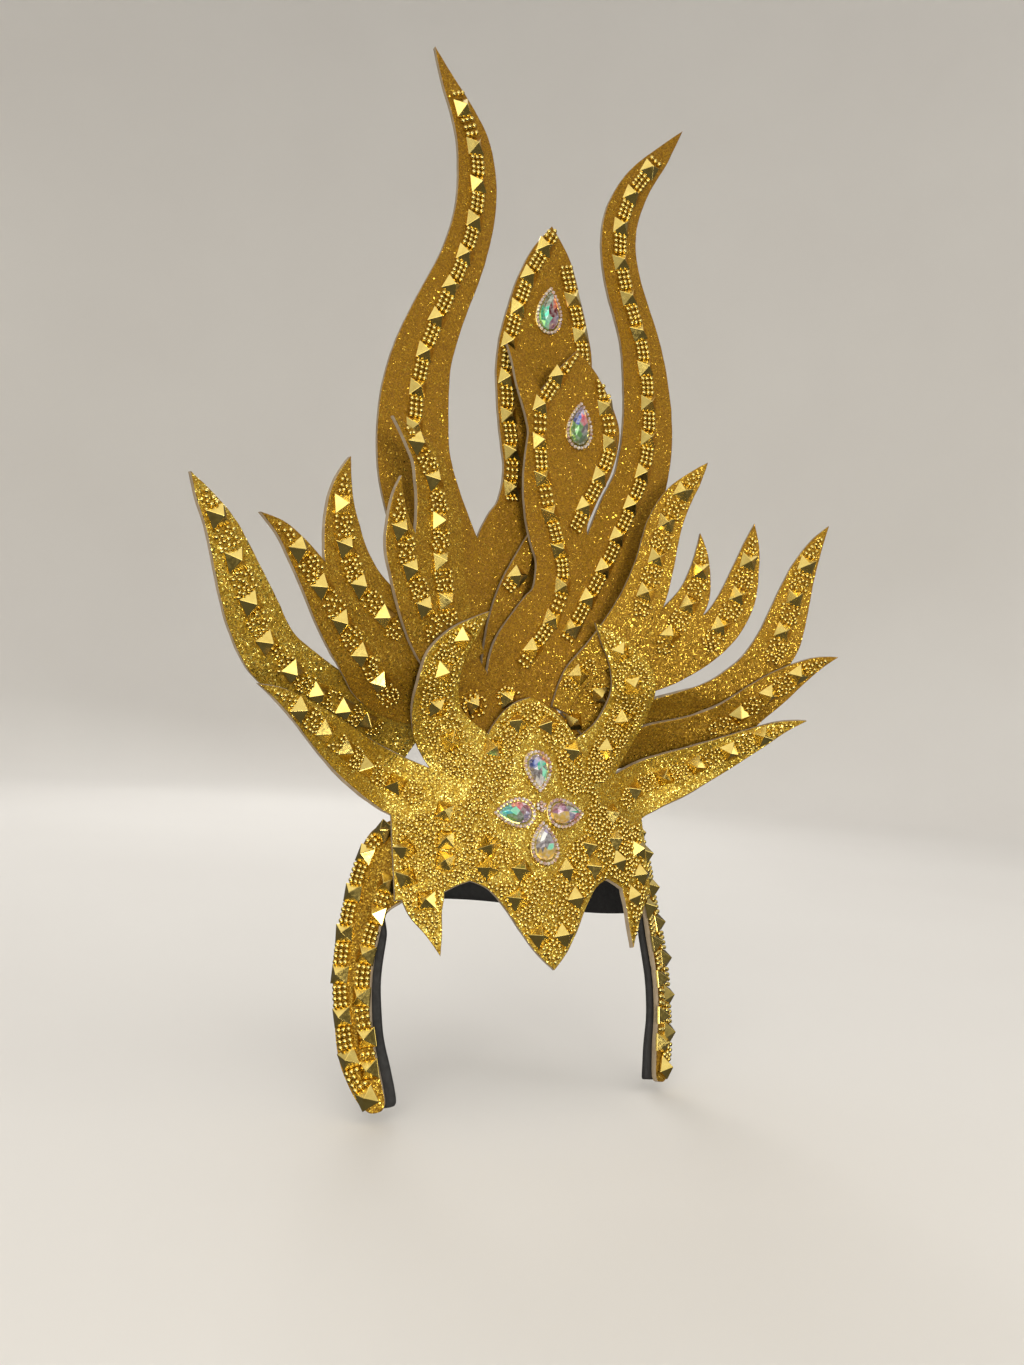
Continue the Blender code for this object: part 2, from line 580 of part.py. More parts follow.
def foam_plate(name, outlines, sheet, step):
    """One foam piece: joined outlines, bent, with the foam behind the sheet's face."""
    flat = flat_region(outlines)
    slice_region(flat, step)
    add_object(name, bend_region(flat, sheet, -FOAM), GOLD_FOAM)


# Trim

def stud_strip(name, centres, normals, phase=0.5, gap=TRIM_SEAM):
    """A strip of trim along 3-D points: pyramids, with the low tape between them."""
    lengths = [0.0]
    for a, b in zip(centres, centres[1:]):
        lengths.append(lengths[-1] + (b - a).length)
    total = lengths[-1]

    def at(s):
        s = min(max(s, 0.0), total)
        i = min(bisect.bisect_right(lengths, s) - 1, len(centres) - 2)
        t = (s - lengths[i]) / (lengths[i + 1] - lengths[i])
        middle = centres[i].lerp(centres[i + 1], t)
        out = normals[i].lerp(normals[i + 1], t).normalized()
        return middle, out, (centres[i + 1] - centres[i]).normalized()

    count = max(1, int((total - STUD - 2 * STUD_SPARE) / STUD_PITCH + 1.0))
    used = (count - 1) * STUD_PITCH + STUD
    first = (total - used) * phase + STUD / 2.0
    stations = []
    for k in range(count):
        middle = first + k * STUD_PITCH
        if k:
            stations.append((middle - STUD_PITCH / 2.0, False))
        stations.append((middle - STUD / 2.0, True))
        stations.append((middle + STUD / 2.0, False))
    start = max(0.0, first - STUD / 2.0 - STUD_PITCH / 2.0)
    if stations[0][0] - start > STUD_SPARE:
        stations.insert(0, (start, False))
    end = min(total, first + (count - 1) * STUD_PITCH + STUD_PITCH / 2.0 + STUD / 2.0)
    if end - stations[-1][0] > STUD_SPARE:
        stations.append((end, False))

    bm = bmesh.new()
    rings = []
    for s, stud in stations:
        middle, out, along = at(s)
        side = along.cross(out).normalized() * (STUD / 2.0)
        low, high = out * gap, out * (gap + TAPE)
        rings.append([
            bm.verts.new(middle + side + low), bm.verts.new(middle - side + low),
            bm.verts.new(middle - side + high), bm.verts.new(middle + side + high),
        ])
    for (s, stud), ring, after in zip(stations, rings, rings[1:]):
        for a, b in ((0, 1), (1, 2), (3, 0)):
            bm.faces.new((ring[a], ring[b], after[b], after[a]))
        if stud:
            middle, out, along = at(s + STUD / 2.0)
            apex = bm.verts.new(middle + out * (gap + TAPE + STUD_HEIGHT))
            corners = (ring[2], ring[3], after[3], after[2])
            for k in range(4):
                bm.faces.new((corners[k], corners[(k + 1) % 4], apex))
        else:
            bm.faces.new((ring[2], ring[3], after[3], after[2]))
    bm.faces.new(rings[0])
    bm.faces.new(rings[-1])
    bmesh.ops.triangulate(bm, faces=[f for f in bm.faces if len(f.verts) > 3])
    add_object(name, bm, GOLD_TRIM)


def trim_on_sheet(name, rows, sheet, gap=TRIM_SEAM):
    """Trim along a flat middle line given as out and up places."""
    path = smooth_path([row[:2] for row in rows], TRIM_STEP)
    centres = [sheet.point(x, z) for x, z in path]
    stud_strip(name, centres, [sheet.normal(x, z) for x, z in path], gap=gap)


def part_of_path(rows, start, end):
    """The stretch of a flame's middle line between two shares of its length."""
    path = smooth_path(rows, TRIM_STEP)
    lengths = [0.0]
    for a, b in zip(path, path[1:]):
        lengths.append(lengths[-1] + math.dist(a[:2], b[:2]))
    return [p for p, s in zip(path, lengths) if start <= s / lengths[-1] <= end]


def border_path(rows, side, inset, start, end):
    """A line beside one edge of a flame, from one share of its length to another."""
    path = smooth_path(rows, TRIM_STEP)
    line = []
    total = len(path) - 1
    for i, (x, z, width) in enumerate(path):
        if not start <= i / total <= end:
            continue
        before, after = path[max(0, i - 1)], path[min(total, i + 1)]
        along = Vector((after[0] - before[0], after[1] - before[1])).normalized()
        reach = max(0.0, width / 2.0 - inset) * side
        line.append((x - along.y * reach, z + along.x * reach))
    return line


# Pieces

def cheek_edges(side):
    """Outer and inner edge of a cheek guard, from the seam at the temple to the tip."""
    rows = []
    for share in (SEAM_TOP, SEAM_BOTTOM):
        rows.append([FRONT.point(BROW_HALF - GUARD_LAP, share * BROW_DROP, -FOAM - GUARD_SEAM)])
    for outer, inner in GUARD_ROWS:
        for row, (out, fore, down) in zip(rows, (outer, inner)):
            row.append(Vector((out * GUARD_OUT, -fore * GUARD_DEPTH, -down * GUARD_DROP)))
    edges = []
    for row in rows:
        for point in row:
            point.x *= side
        edges.append(row)
    return edges


def paired_paths(first, second, pieces):
    """The same number of places along two edges."""
    paths = []
    for row in (first, second):
        path = []
        last = len(row) - 1
        for i in range(last):
            p1, p2 = row[i], row[i + 1]
            p0 = row[i - 1] if i else p1 * 2 - p2
            p3 = row[i + 2] if i + 2 <= last else p2 * 2 - p1
            for k in range(pieces):
                t = k / pieces
                path.append(0.5 * (
                    2 * p1 + (p2 - p0) * t + (2 * p0 - 5 * p1 + 4 * p2 - p3) * t ** 2
                    + (3 * p1 - p0 - 3 * p2 + p3) * t ** 3))
        path.append(row[last].copy())
        paths.append(path)
    return paths


def outward_normals(outer, inner):
    """Directions off a strip between two edges, pointing away from the head."""
    normals = []
    for i in range(len(outer)):
        before, after = max(0, i - 1), min(len(outer) - 1, i + 1)
        along = (outer[after] + inner[after]) - (outer[before] + inner[before])
        normal = along.cross(outer[i] - inner[i]).normalized()
        if normal.dot(Vector((outer[i].x, outer[i].y, 0.0))) < 0.0:
            normal = -normal
        normals.append(normal)
    return normals


def grid_plate(name, columns, normals, thick, spec):
    """A sheet through columns of points, with its thickness behind them."""
    bm = bmesh.new()
    front = [[bm.verts.new(p) for p in column] for column in columns]
    back = [[bm.verts.new(p - n * thick) for p in column] for column, n in zip(columns, normals)]
    last, end = len(front) - 1, len(front[0]) - 1
    for i in range(last):
        for k in range(end):
            bm.faces.new((front[i][k], front[i + 1][k], front[i + 1][k + 1], front[i][k + 1]))
            bm.faces.new((back[i][k + 1], back[i + 1][k + 1], back[i + 1][k], back[i][k]))
        for k in (0, end):
            bm.faces.new((front[i][k], back[i][k], back[i + 1][k], front[i + 1][k]))
    for i in (0, last):
        for k in range(end):
            bm.faces.new((front[i][k], front[i][k + 1], back[i][k + 1], back[i][k]))
    bmesh.ops.triangulate(bm, faces=bm.faces[:])
    add_object(name, bm, spec)


def inset_line(outer, inner, inset):
    """Line beside the first edge of a strip, so far in from it."""
    return [a + (b - a).normalized() * inset for a, b in zip(outer, inner)]


def cheek_guard(label, side):
    outer, inner = paired_paths(*cheek_edges(side), GUARD_PIECES)
    normals = outward_normals(outer, inner)
    columns = [[a, a.lerp(b, 0.5), b] for a, b in zip(outer, inner)]
    grid_plate(label + "_cheek_guard", columns, normals, FOAM, GOLD_FOAM)

    lined = range(GUARD_PIECES + 1, len(outer) - 1)
    behind = [
        [
            outer[i] + (inner[i] - outer[i]).normalized() * LINING_INSET - normals[i] * (FOAM + SEAM),
            inner[i] + (inner[i] - outer[i]).normalized() * LINING_PROUD - normals[i] * (FOAM + SEAM),
        ]
        for i in lined
    ]
    grid_plate(label + "_guard_lining", behind, [normals[i] for i in lined], LINING, BLACK_FOAM)

    room = STUD / 2.0 + EDGE_MARGIN
    line = inset_line(outer, inner, room)[GUARD_PIECES:]
    stud_strip(label + "_guard_outer_trim", line, normals[GUARD_PIECES:], GUARD_PHASE,
                GUARD_SEAM)
    wide = [
        i for i in range(GUARD_PIECES, len(outer))
        if (outer[i] - inner[i]).length > 2.0 * room + STUD + TWIN_MARGIN
    ]
    line = inset_line(inner, outer, room)
    stud_strip(
        label + "_guard_inner_trim", [line[i] for i in wide], [normals[i] for i in wide],
        GUARD_PHASE, GUARD_SEAM)
    return outer, inner


def nape_band(left_edge, right_edge):
    """Plain band round the back of the head, from one guard's rear edge to the other's."""
    ends = []
    tucked = []
    for outer, inner in (left_edge, right_edge):
        normals = outward_normals(outer, inner)
        deep = FOAM + SEAM + LINING + GUARD_SEAM
        places = range(BAND_START, BAND_START + BAND_ROWS)
        ends.append([outer[i] - normals[i] * deep for i in places])
        tucked.append([outer[i].lerp(inner[i], BAND_LAP) - normals[i] * deep for i in places])
    first = math.asin(ends[0][0].y / HEAD_BACK)
    columns, normals = [], []
    for i in range(BAND_PIECES + 1):
        u = i / BAND_PIECES
        angle = math.pi - first + (2.0 * first - math.pi) * u
        x, y = HEAD_HALF * math.cos(angle), HEAD_BACK * math.sin(angle)
        share = min(1.0, min(u, 1.0 - u) / BAND_BLEND)
        share = share * share * (3.0 - 2.0 * share)
        end = ends[0] if u < 0.5 else ends[1]
        column = []
        for k in range(BAND_ROWS):
            z = BAND_HEIGHT * (0.5 - k / (BAND_ROWS - 1)) - BAND_DROP
            column.append(end[k].lerp(Vector((x, y, z)), share))
        columns.append(column)
    columns = [tucked[0]] + columns + [tucked[1]]
    for i, column in enumerate(columns):
        before, after = columns[max(0, i - 1)], columns[min(len(columns) - 1, i + 1)]
        middle = BAND_ROWS // 2
        normal = (after[middle] - before[middle]).cross(column[-1] - column[0]).normalized()
        if normal.dot(Vector((column[middle].x, column[middle].y, 0.0))) < 0.0:
            normal = -normal
        normals.append(normal)
    grid_plate("nape_band", columns, normals, FOAM, BLACK_FOAM)


def pear_loop(half_width, half_length):
    """Outline of a pear-cut stone whose point is up."""
    loop = []
    for k in range(STONE_SIDES):
        angle = 2.0 * math.pi * k / STONE_SIDES
        loop.append((
            half_width * PEAR_FULL * math.sin(angle) * math.sin(angle / 2.0) ** PEAR_POINT,
            half_length * math.cos(angle),
        ))
    return loop


def crystal(name, sheet, x, z, turn, size):
    """Faceted stone with a table, fused to the raised border that holds it."""
    centre = sheet.point(x, z)
    out = sheet.normal(x, z)
    across_dir = Vector((1.0, 0.0, 0.0))
    across_dir = (across_dir - out * across_dir.dot(out)).normalized()
    up_dir = across_dir.cross(out).normalized()
    if up_dir.z < 0.0:
        up_dir = -up_dir
    cos_t, sin_t = math.cos(math.radians(turn)), math.sin(math.radians(turn))
    half_width, half_length = size
    wide = (half_width + STONE_BORDER, half_length + STONE_BORDER)
    levels = [(wide, None), (wide, BORDER_HEIGHT), (size, BORDER_HEIGHT + GIRDLE_STEP)]
    for across, along, high in (CROWN, TABLE):
        levels.append(((half_width * across, half_length * along), STONE_HEIGHT * high))
    bm = bmesh.new()
    loops = []
    for (w, h), height in levels:
        ring = []
        for a, b in pear_loop(w, h):
            a, b = a * cos_t - b * sin_t, a * sin_t + b * cos_t
            place = centre + across_dir * a + up_dir * b
            if height is None:
                place = sheet.point(place.x, place.z, SEAM)
            else:
                place = place + out * height
            ring.append(bm.verts.new(place))
        loops.append(ring)
    for low, high in zip(loops, loops[1:]):
        for k in range(STONE_SIDES):
            n = (k + 1) % STONE_SIDES
            bm.faces.new((low[k], low[n], high[n], high[k]))
    bm.faces.new(loops[0])
    bm.faces.new(loops[-1])
    bmesh.ops.triangulate(bm, faces=bm.faces[:])
    add_object(name, bm, CRYSTAL)


def forehead_outlines(trim=0.0):
    """Outlines of the forehead part, or of the trim laid over it, a little smaller."""
    outlines = []
    for label, rows in BROW_PARTS.items():
        for side in ((1.0, -1.0) if label.endswith("left") else (1.0,)):
            placed = brow_rows(rows, side)
            if trim:
                along = Vector((placed[1][0] - placed[0][0], placed[1][1] - placed[0][1])).normalized()
                tip = (placed[0][0] + along.x * trim * 2.0, placed[0][1] + along.y * trim * 2.0)
                placed = [(*tip, placed[0][2])] + placed[1:]
                placed = [(x, z, max(0.0, wide - 2.0 * trim)) for x, z, wide in placed]
            outlines.append(ribbon_outline(placed))
    return outlines


def pyramid(x, z, along):
    """Closed stud over the forehead trim, sunk a little into it."""
    centre, out = FRONT.point(x, z), FRONT.normal(x, z)
    ahead = FRONT.point(x + along.x * STUD_STEP, z + along.y * STUD_STEP)
    along_dir = (ahead - centre).normalized()
    side = along_dir.cross(out).normalized()
    bm = bmesh.new()
    low = centre + out * (TRIM_SEAM + TAPE * 0.5)
    half = STUD / 2.0
    base = [
        bm.verts.new(low + along_dir * (a * half) + side * (b * half))
        for a, b in ((-1, -1), (-1, 1), (1, 1), (1, -1))
    ]
    apex = bm.verts.new(centre + out * (TRIM_SEAM + TAPE + STUD_HEIGHT))
    bm.faces.new(base)
    for k in range(4):
        bm.faces.new((base[k], base[(k + 1) % 4], apex))
    bmesh.ops.recalc_face_normals(bm, faces=bm.faces[:])
    return bm


def forehead_trim():
    """The dense studded covering of the forehead part, one fused piece."""
    hole = ribbon_outline(brow_rows(EMBLEM))
    flat = flat_region(forehead_outlines(EDGE_MARGIN), [hole])
    slice_region(flat, BEND_STEP)
    covering = bend_region(flat, FRONT, TAPE, TRIM_SEAM)
    bmesh.ops.recalc_face_normals(covering, faces=covering.faces[:])
    studs = bmesh.new()
    for row in BROW_STUDS:
        for side in (1.0, -1.0):
            points = [(side * out * BROW_HALF, up * BROW_DROP) for out, up in row]
            path = smooth_path(points, STUD_STEP)
            travelled = 0.0
            due = 0.0
            for a, b in zip(path, path[1:]):
                if travelled >= due:
                    stud = pyramid(a[0], a[1], Vector((b[0] - a[0], b[1] - a[1])).normalized())
                    copy = bpy.data.meshes.new("stud")
                    stud.to_mesh(copy)
                    stud.free()
                    studs.from_mesh(copy)
                    bpy.data.meshes.remove(copy)
                    due += STUD_PITCH
                travelled += math.dist(a, b)
    add_object("forehead_trim", combine(covering, [studs], "UNION"), GOLD_TRIM)


def tall_flames():
    left, leaf_a = flame_rows("left_tall"), flame_rows("leaf_a")
    foam_plate("tall_rear_plate", [ribbon_outline(left), ribbon_outline(leaf_a)], TALL_REAR, TALL_STEP)
    trim_on_sheet("left_tall_trim", part_of_path(left, *TALL_TRIM["left_tall"]), TALL_REAR)
    inner = flame_rows("inner_left")
    foam_plate("inner_left_flame", [ribbon_outline(inner)], TALL_MIDDLE, TALL_STEP)
    row = part_of_path(inner, *TALL_TRIM["inner_left"])
    trim_on_sheet("inner_left_trim", row, TALL_MIDDLE)

    room = STUD / 2.0 + EDGE_MARGIN
    start, end = LEAF_A_TRIM["left"]
    trim_on_sheet("leaf_a_left_trim", border_path(leaf_a, -1.0, room, start, end), TALL_REAR)
    start, end = LEAF_A_TRIM["right"]
    trim_on_sheet("leaf_a_right_trim", border_path(leaf_a, 1.0, room, start, end), TALL_REAR)

    names = ("right_tall", "leaf_b", "hook", "left_foot", "right_foot")
    shapes = [flame_rows(name) for name in names]
    foam_plate("tall_front_plate", [ribbon_outline(rows) for rows in shapes], TALL_FRONT, TALL_STEP)
    row = part_of_path(shapes[0], *TALL_TRIM["right_tall"])
    trim_on_sheet("right_tall_trim", row, TALL_FRONT)
    stem = [(out * FLAME_REACH, up * FLAME_RISE) for out, up in LEAF_B_STEM]
    trim_on_sheet("leaf_b_stem_trim", smooth_path(stem, TRIM_STEP), TALL_FRONT)
    start, end = LEAF_B_TRIM
    trim_on_sheet("leaf_b_right_trim", border_path(shapes[1], 1.0, room, start, end), TALL_FRONT)


def side_flames():
    plates = {
        "side_left_rear": (("side_left_2",), LAYER_3),
        "side_left_middle": (("side_left_3", "side_left_4"), LAYER_2),
        "side_left_front": (("side_left_5", "side_left_6"), LAYER_1),
        "side_right_front": (("side_right_6",), LAYER_1),
        "side_right_middle": (("side_right_5", "side_right_4"), LAYER_2),
        "side_right_rear": (("side_right_3",), LAYER_3),
        "side_right_low": (("side_right_2",), LAYER_2),
    }
    for name, (flames, sheet) in plates.items():
        outlines = [ribbon_outline(flame_rows(flame)) for flame in flames]
        foam_plate(name + "_plate", outlines, sheet, SIDE_STEP)
        for flame in flames:
            for label, (start, end) in zip(("_trim", "_low_trim"), SIDE_TRIM[flame]):
                gap = BENT_SEAM if flame in BENT_FLAMES else TRIM_SEAM
                trim_on_sheet(
                    flame + label, part_of_path(flame_rows(flame), start, end), sheet, gap)


def forehead():
    outlines = forehead_outlines()
    for side in (1.0, -1.0):
        outlines.append(ribbon_outline(flame_rows("side_1", side)))
        outlines.append(ribbon_outline(flame_rows("horn", side)))
    foam_plate("forehead_plate", outlines, FRONT, BEND_STEP)
    for label, side in (("left", -1.0), ("right", 1.0)):
        low = part_of_path(flame_rows("side_1", side), *FRONT_TRIM["side_1"])
        trim_on_sheet("side_" + label + "_1_trim", low, FRONT, BENT_SEAM)
        horn = part_of_path(flame_rows("horn", side), *FRONT_TRIM["horn"])
        trim_on_sheet(label + "_horn_trim", horn, FRONT, HORN_SEAM)
    forehead_trim()


def crystals():
    for label, (out, up, turn) in EMBLEM_STONES.items():
        crystal("emblem_" + label + "_crystal", FRONT, out * BROW_HALF, up * BROW_DROP, turn,
                EMBLEM_STONE)
    for label, sheet in (("leaf_a", TALL_REAR), ("leaf_b", TALL_FRONT)):
        out, up = LEAF_STONES[label]
        crystal(label + "_crystal", sheet, out * FLAME_REACH, up * FLAME_RISE, 0.0, LEAF_STONE)


def build():
    clear_scene()
    tall_flames()
    side_flames()
    forehead()
    crystals()
    edges = [cheek_guard(label, side) for label, side in (("left", -1.0), ("right", 1.0))]
    nape_band(*edges)


build()
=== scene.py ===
"""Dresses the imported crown: foam, studs, beads, crystals, materials, light and camera.

Left and right are as seen from in front of the crown; lengths are in metres.
"""
import math
import random

import bmesh
import bpy
import numpy as np
from mathutils import Matrix, Vector, geometry, noise
from mathutils.bvhtree import BVHTree


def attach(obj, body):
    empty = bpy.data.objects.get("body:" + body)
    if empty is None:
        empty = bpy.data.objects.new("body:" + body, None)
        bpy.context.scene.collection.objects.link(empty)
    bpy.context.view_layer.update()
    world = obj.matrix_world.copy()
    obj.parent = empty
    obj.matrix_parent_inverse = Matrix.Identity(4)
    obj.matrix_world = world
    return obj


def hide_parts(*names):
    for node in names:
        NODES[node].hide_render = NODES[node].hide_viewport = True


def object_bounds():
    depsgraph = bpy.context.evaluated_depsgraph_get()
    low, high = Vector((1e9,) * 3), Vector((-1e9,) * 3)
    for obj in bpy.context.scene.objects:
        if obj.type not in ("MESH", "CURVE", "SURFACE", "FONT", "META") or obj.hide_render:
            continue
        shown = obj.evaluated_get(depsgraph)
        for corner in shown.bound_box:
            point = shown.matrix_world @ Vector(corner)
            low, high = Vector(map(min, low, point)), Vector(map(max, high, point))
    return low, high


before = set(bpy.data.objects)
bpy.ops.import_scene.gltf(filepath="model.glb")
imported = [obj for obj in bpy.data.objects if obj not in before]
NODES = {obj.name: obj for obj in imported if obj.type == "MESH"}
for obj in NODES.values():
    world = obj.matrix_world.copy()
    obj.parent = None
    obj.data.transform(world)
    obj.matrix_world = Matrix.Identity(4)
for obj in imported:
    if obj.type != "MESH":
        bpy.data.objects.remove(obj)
CAD_LOW, CAD_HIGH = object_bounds()

# Sizes of the part, as in its source
REACH = 0.157            # middle to the tip of a low side flame
RISE = 0.431             # head seat to the tip of the tallest flame
BROW_HALF = 0.076        # middle to the side of the forehead piece
BROW_DROP = 0.052        # head seat to the point over the nose
FOAM = 0.003             # thickness of a foam sheet
STUD = 0.0095            # side of a pyramid stud
STUD_HEIGHT = 0.0040
STUD_FIT = 0.0007        # how far a pyramid's height may be from that
CORNER_LEAST, CORNER_MOST = 0.62, 0.80          # shares of the side from its middle to a corner
STUD_PITCH = 0.0205
ROW_END = STUD_PITCH * 1.2          # the end of a row is nearer to its last stud than this
TAPE = 0.0016            # thickness of the trim between the studs
BROW_DEPTH = 0.095       # head seat to the front of the forehead
FRONT_LEAN = 0.050       # how far the front sheet leans back above the forehead
TEMPLE_WRAP = 0.022      # how far it goes back at the temples
SIDE_SWEEP = 0.029       # how far it comes forward at the low side flames
TRIM_SEAM = 0.0009       # clearance under the forehead covering
GUARD_SEAM = 0.0008      # clearance under the trim of a cheek guard

# Foam edges
CUT_STEP = 0.0018        # spacing of the places along a cut edge
FILL_STEP = 0.0045       # spacing of the places across a foam face
ROW_RISE = 0.866         # rise of each row of them against their spacing
RIM_ROOM = 0.45          # how near they come to the outline, against their spacing
EDGE_ROUND = 0.00030     # how far a cut edge is rounded
HAND_CUT = 0.00016       # how far a cut edge wanders
WAVERS = 160.0           # waves of that to a metre
SAME_PLACE = 0.0003      # corners of an outline nearer than this are one
SAME_POINT = 1e-5        # and so are points of a mesh nearer than this
TIP_MERGE = 2e-5         # the same at the tip of a stone
FLAT_ROUNDS, UNDER_ROUNDS = 3, 4    # rounds in which the flat place under a point is found
FACE_ON = 0.75           # least cosine between a face and the side of the sheet that it is on
FAR = 1.0                # farther than anything in the crown
CORNER_TURN = math.radians(38.0)
STRAIGHT_TURN = math.radians(0.6)
SOFT_CREASE = 0.96       # how sharp the rim of a rounded strip stays
FOLD = math.radians(50.0)           # surfaces that meet at more than this are apart
SMOOTH = math.radians(40.0)         # faces that meet at less than this are shaded as one
RIM_SMOOTH = math.radians(35.0)     # the same at the rims of the flat cut pieces
SKEW = math.radians(80.0)           # most that a face made of two may be out of square

# Studs and beads
STUD_SKIRT = 0.0008      # upright rim round the foot of a stud
STUD_TOP = 0.0058        # foam face to the point of a stud
STUD_ROUND = 0.00020
SUNK = 0.0002            # how far a stud is pressed into the foam
STUD_TWIST = math.radians(5.0)
STUD_LEAN = math.radians(2.5)
BROW_TWIST = math.radians(16.0)
LOOSE_TWIST = 0.5        # largest turn of a stud that is not in a row, in radians
BEAD = 0.0027            # across one bead
BEAD_SEAT = 0.80         # share of a bead's radius from its middle to the foam
BEAD_STRAY = 0.00014
BEAD_SIZES = (0.94, 1.03)           # smallest and largest against the usual one
SMALL_SIZES = (0.86, 1.04)          # the same of scattered beads
BEAD_MARGIN = 0.0002     # a bead's middle is at least this far inside a cut edge
BEAD_ALONG, BEAD_ACROSS = 1.01, 1.03            # spacing in a block against a bead's size
TIP_REACH = 0.0062       # how far beads run on towards a flame's tip
TIP_MARGIN = 0.0056      # a row nearer to an edge than this ends at a tip
ROW_SPARE = STUD * 0.6   # how far a row runs past its last stud where nothing else tells
LINE_STEP = 0.0010       # spacing of the places along a row
BROW_STEP = 0.0005       # the same over the forehead
LOOK_AHEAD = 0.001       # to the place that a stud over the forehead faces
SMALL_BEAD = 0.86        # size of a scattered bead against one of a row
SMALL_GAP = BEAD * SMALL_BEAD * 0.36            # from its middle to the side of a stud
TRIES = 3.4e6            # places tried for scattered beads on a square metre
PACKING = 0.88           # least spacing of scattered beads against their size
BARE_SCALE = 75.0        # waves to a metre of the noise that leaves bare patches among them
BARE_BELOW = -0.48       # noise below this leaves such a patch
BROW_MARGIN = BEAD * 0.42           # beads over the forehead stay this far inside its trim
COVER_MARGIN = 0.0022    # other scattered beads stay this far inside a cut edge
HORN_COVER = 0.0090      # how far beads are scattered to both sides of a horn's row
FLAME_COVER = 0.0050     # the same on the side flames
LOOSE_COVER = 0.0072     # how far they lie round a stud that is not in a row
UNDER_MARGIN = 0.0020    # and how far they stay off a piece of foam that lies in front
DROP_FROM, DROP_REACH = 0.004, 0.009            # start and length of the search for the foam below
ACROSS = Vector((1.0, 0.0, 0.0))

# Where the rows on a cheek guard go on past the studs of the plain model: back and up
GUARD_STUDS = {
    "outer": ((-0.0385, 0.0105),),
    "inner": ((-0.0475, -0.0150), (-0.0591, -0.0890), (-0.0625, -0.1035)),
}

# Studs that lie apart from the rows, in the pockets at the foot of the flames: out and up
LOOSE_STUDS = {
    "tall_front_plate": ((-0.0110, 0.0835), (-0.0320, 0.0790)),
    "side_right_middle_plate": ((0.0434, 0.0893), (0.0295, 0.0732)),
}

# Curves that the sheets are bent to, as in the part's source
FRONT_UP = RISE * np.array(
    (-0.15, -0.12, -0.035, 0.046, 0.102, 0.151, 0.190, 0.225, 0.295, 0.35, 1.50))
FRONT_Y = FRONT_LEAN * np.array(
    (0.00, 0.08, 0.33, 0.57, 0.73, 0.88, 1.00, 0.98, 0.89, 0.88, 0.88)) - BROW_DEPTH
BEND_OUT = REACH * np.array(
    (0.00, 0.19, 0.36, 0.44, 0.50, 0.56, 0.64, 0.73, 0.83, 1.00, 1.28))
BEND_Y = (
    TEMPLE_WRAP * np.array((0.00, 0.18, 0.66, 0.93, 1.00, 1.00, 1.00, 1.00, 1.00, 1.00, 1.00))
    - SIDE_SWEEP * np.array((0.00, 0.00, 0.00, 0.00, 0.00, 0.12, 0.44, 0.78, 1.12, 1.78, 2.69)))
BLEND_LOW, BLEND_HIGH = 0.090, 0.225
FOOT_LOW, FOOT_HIGH = 0.18, 0.36
SWEEP_ROUND = 0.040
SWEEP_SLOPE = 0.36
TALL_SLOPE = 0.08
TALL_DEPTH = 0.029
TALL_SPACING = 0.0050
SHEET_STEP = 0.0035
SIDE_REAR_LAYER = 3.2
REAR_LAYER = 4
SLOPE_SPAN = 0.0005      # half the span that a slope is measured over


def hermite(start, leaving, end, arriving, t):
    """Smooth way from one value to another with the slopes that it leaves and arrives with."""
    return (
        start * (2 * t ** 3 - 3 * t ** 2 + 1) + leaving * (t ** 3 - 2 * t ** 2 + t)
        + end * (3 * t ** 2 - 2 * t ** 3) + arriving * (t ** 3 - t ** 2))


def curve_value(xs, ys, x):
    """Values on the curve through the points that never overshoots them."""
    x = np.clip(x, xs[0], xs[-1])
    steps = np.diff(ys) / np.diff(xs)
    slope = np.zeros(len(xs))
    slope[0], slope[-1] = steps[0], steps[-1]
    for i in range(1, len(xs) - 1):
        before, after = steps[i - 1], steps[i]
        if before * after > 0.0:
            slope[i] = 2.0 * before * after / (before + after)
    i = np.clip(np.searchsorted(xs, x, side="right") - 1, 0, len(xs) - 2)
    width = xs[i + 1] - xs[i]
    return hermite(ys[i], slope[i] * width, ys[i + 1], slope[i + 1] * width, (x - xs[i]) / width)


def blend(value, low, high):
    share = np.clip((value - low) / (high - low), 0.0, 1.0)
    return share * share * (3.0 - 2.0 * share)


def free_sweep(x, slope):
    return slope * (np.hypot(x, SWEEP_ROUND) - SWEEP_ROUND)


def front_depth(x, z):
    share = blend(z / RISE, BLEND_LOW, BLEND_HIGH)
    low = curve_value(BEND_OUT, BEND_Y, np.abs(x))
    return curve_value(FRONT_UP, FRONT_Y, z) + (1.0 - share) * low - share * free_sweep(x, SWEEP_SLOPE)


def slopes(depth, x, z):
    along_x = (depth(x + SLOPE_SPAN, z) - depth(x - SLOPE_SPAN, z)) / (2.0 * SLOPE_SPAN)
    along_z = (depth(x, z + SLOPE_SPAN) - depth(x, z - SLOPE_SPAN)) / (2.0 * SLOPE_SPAN)
    return along_x, along_z


def crest_depth(x, z, layer):
    along_x, along_z = slopes(front_depth, x, z)
    return front_depth(x, z) + layer * SHEET_STEP * np.sqrt(1.0 + along_x ** 2 + along_z ** 2)


def tall_depth(x, z, layer):
    share = blend(z / RISE, FOOT_LOW, FOOT_HIGH)
    upright = -TALL_DEPTH - free_sweep(x, TALL_SLOPE) - layer * TALL_SPACING
    return share * upright + (1.0 - share) * crest_depth(x, z, REAR_LAYER - layer)


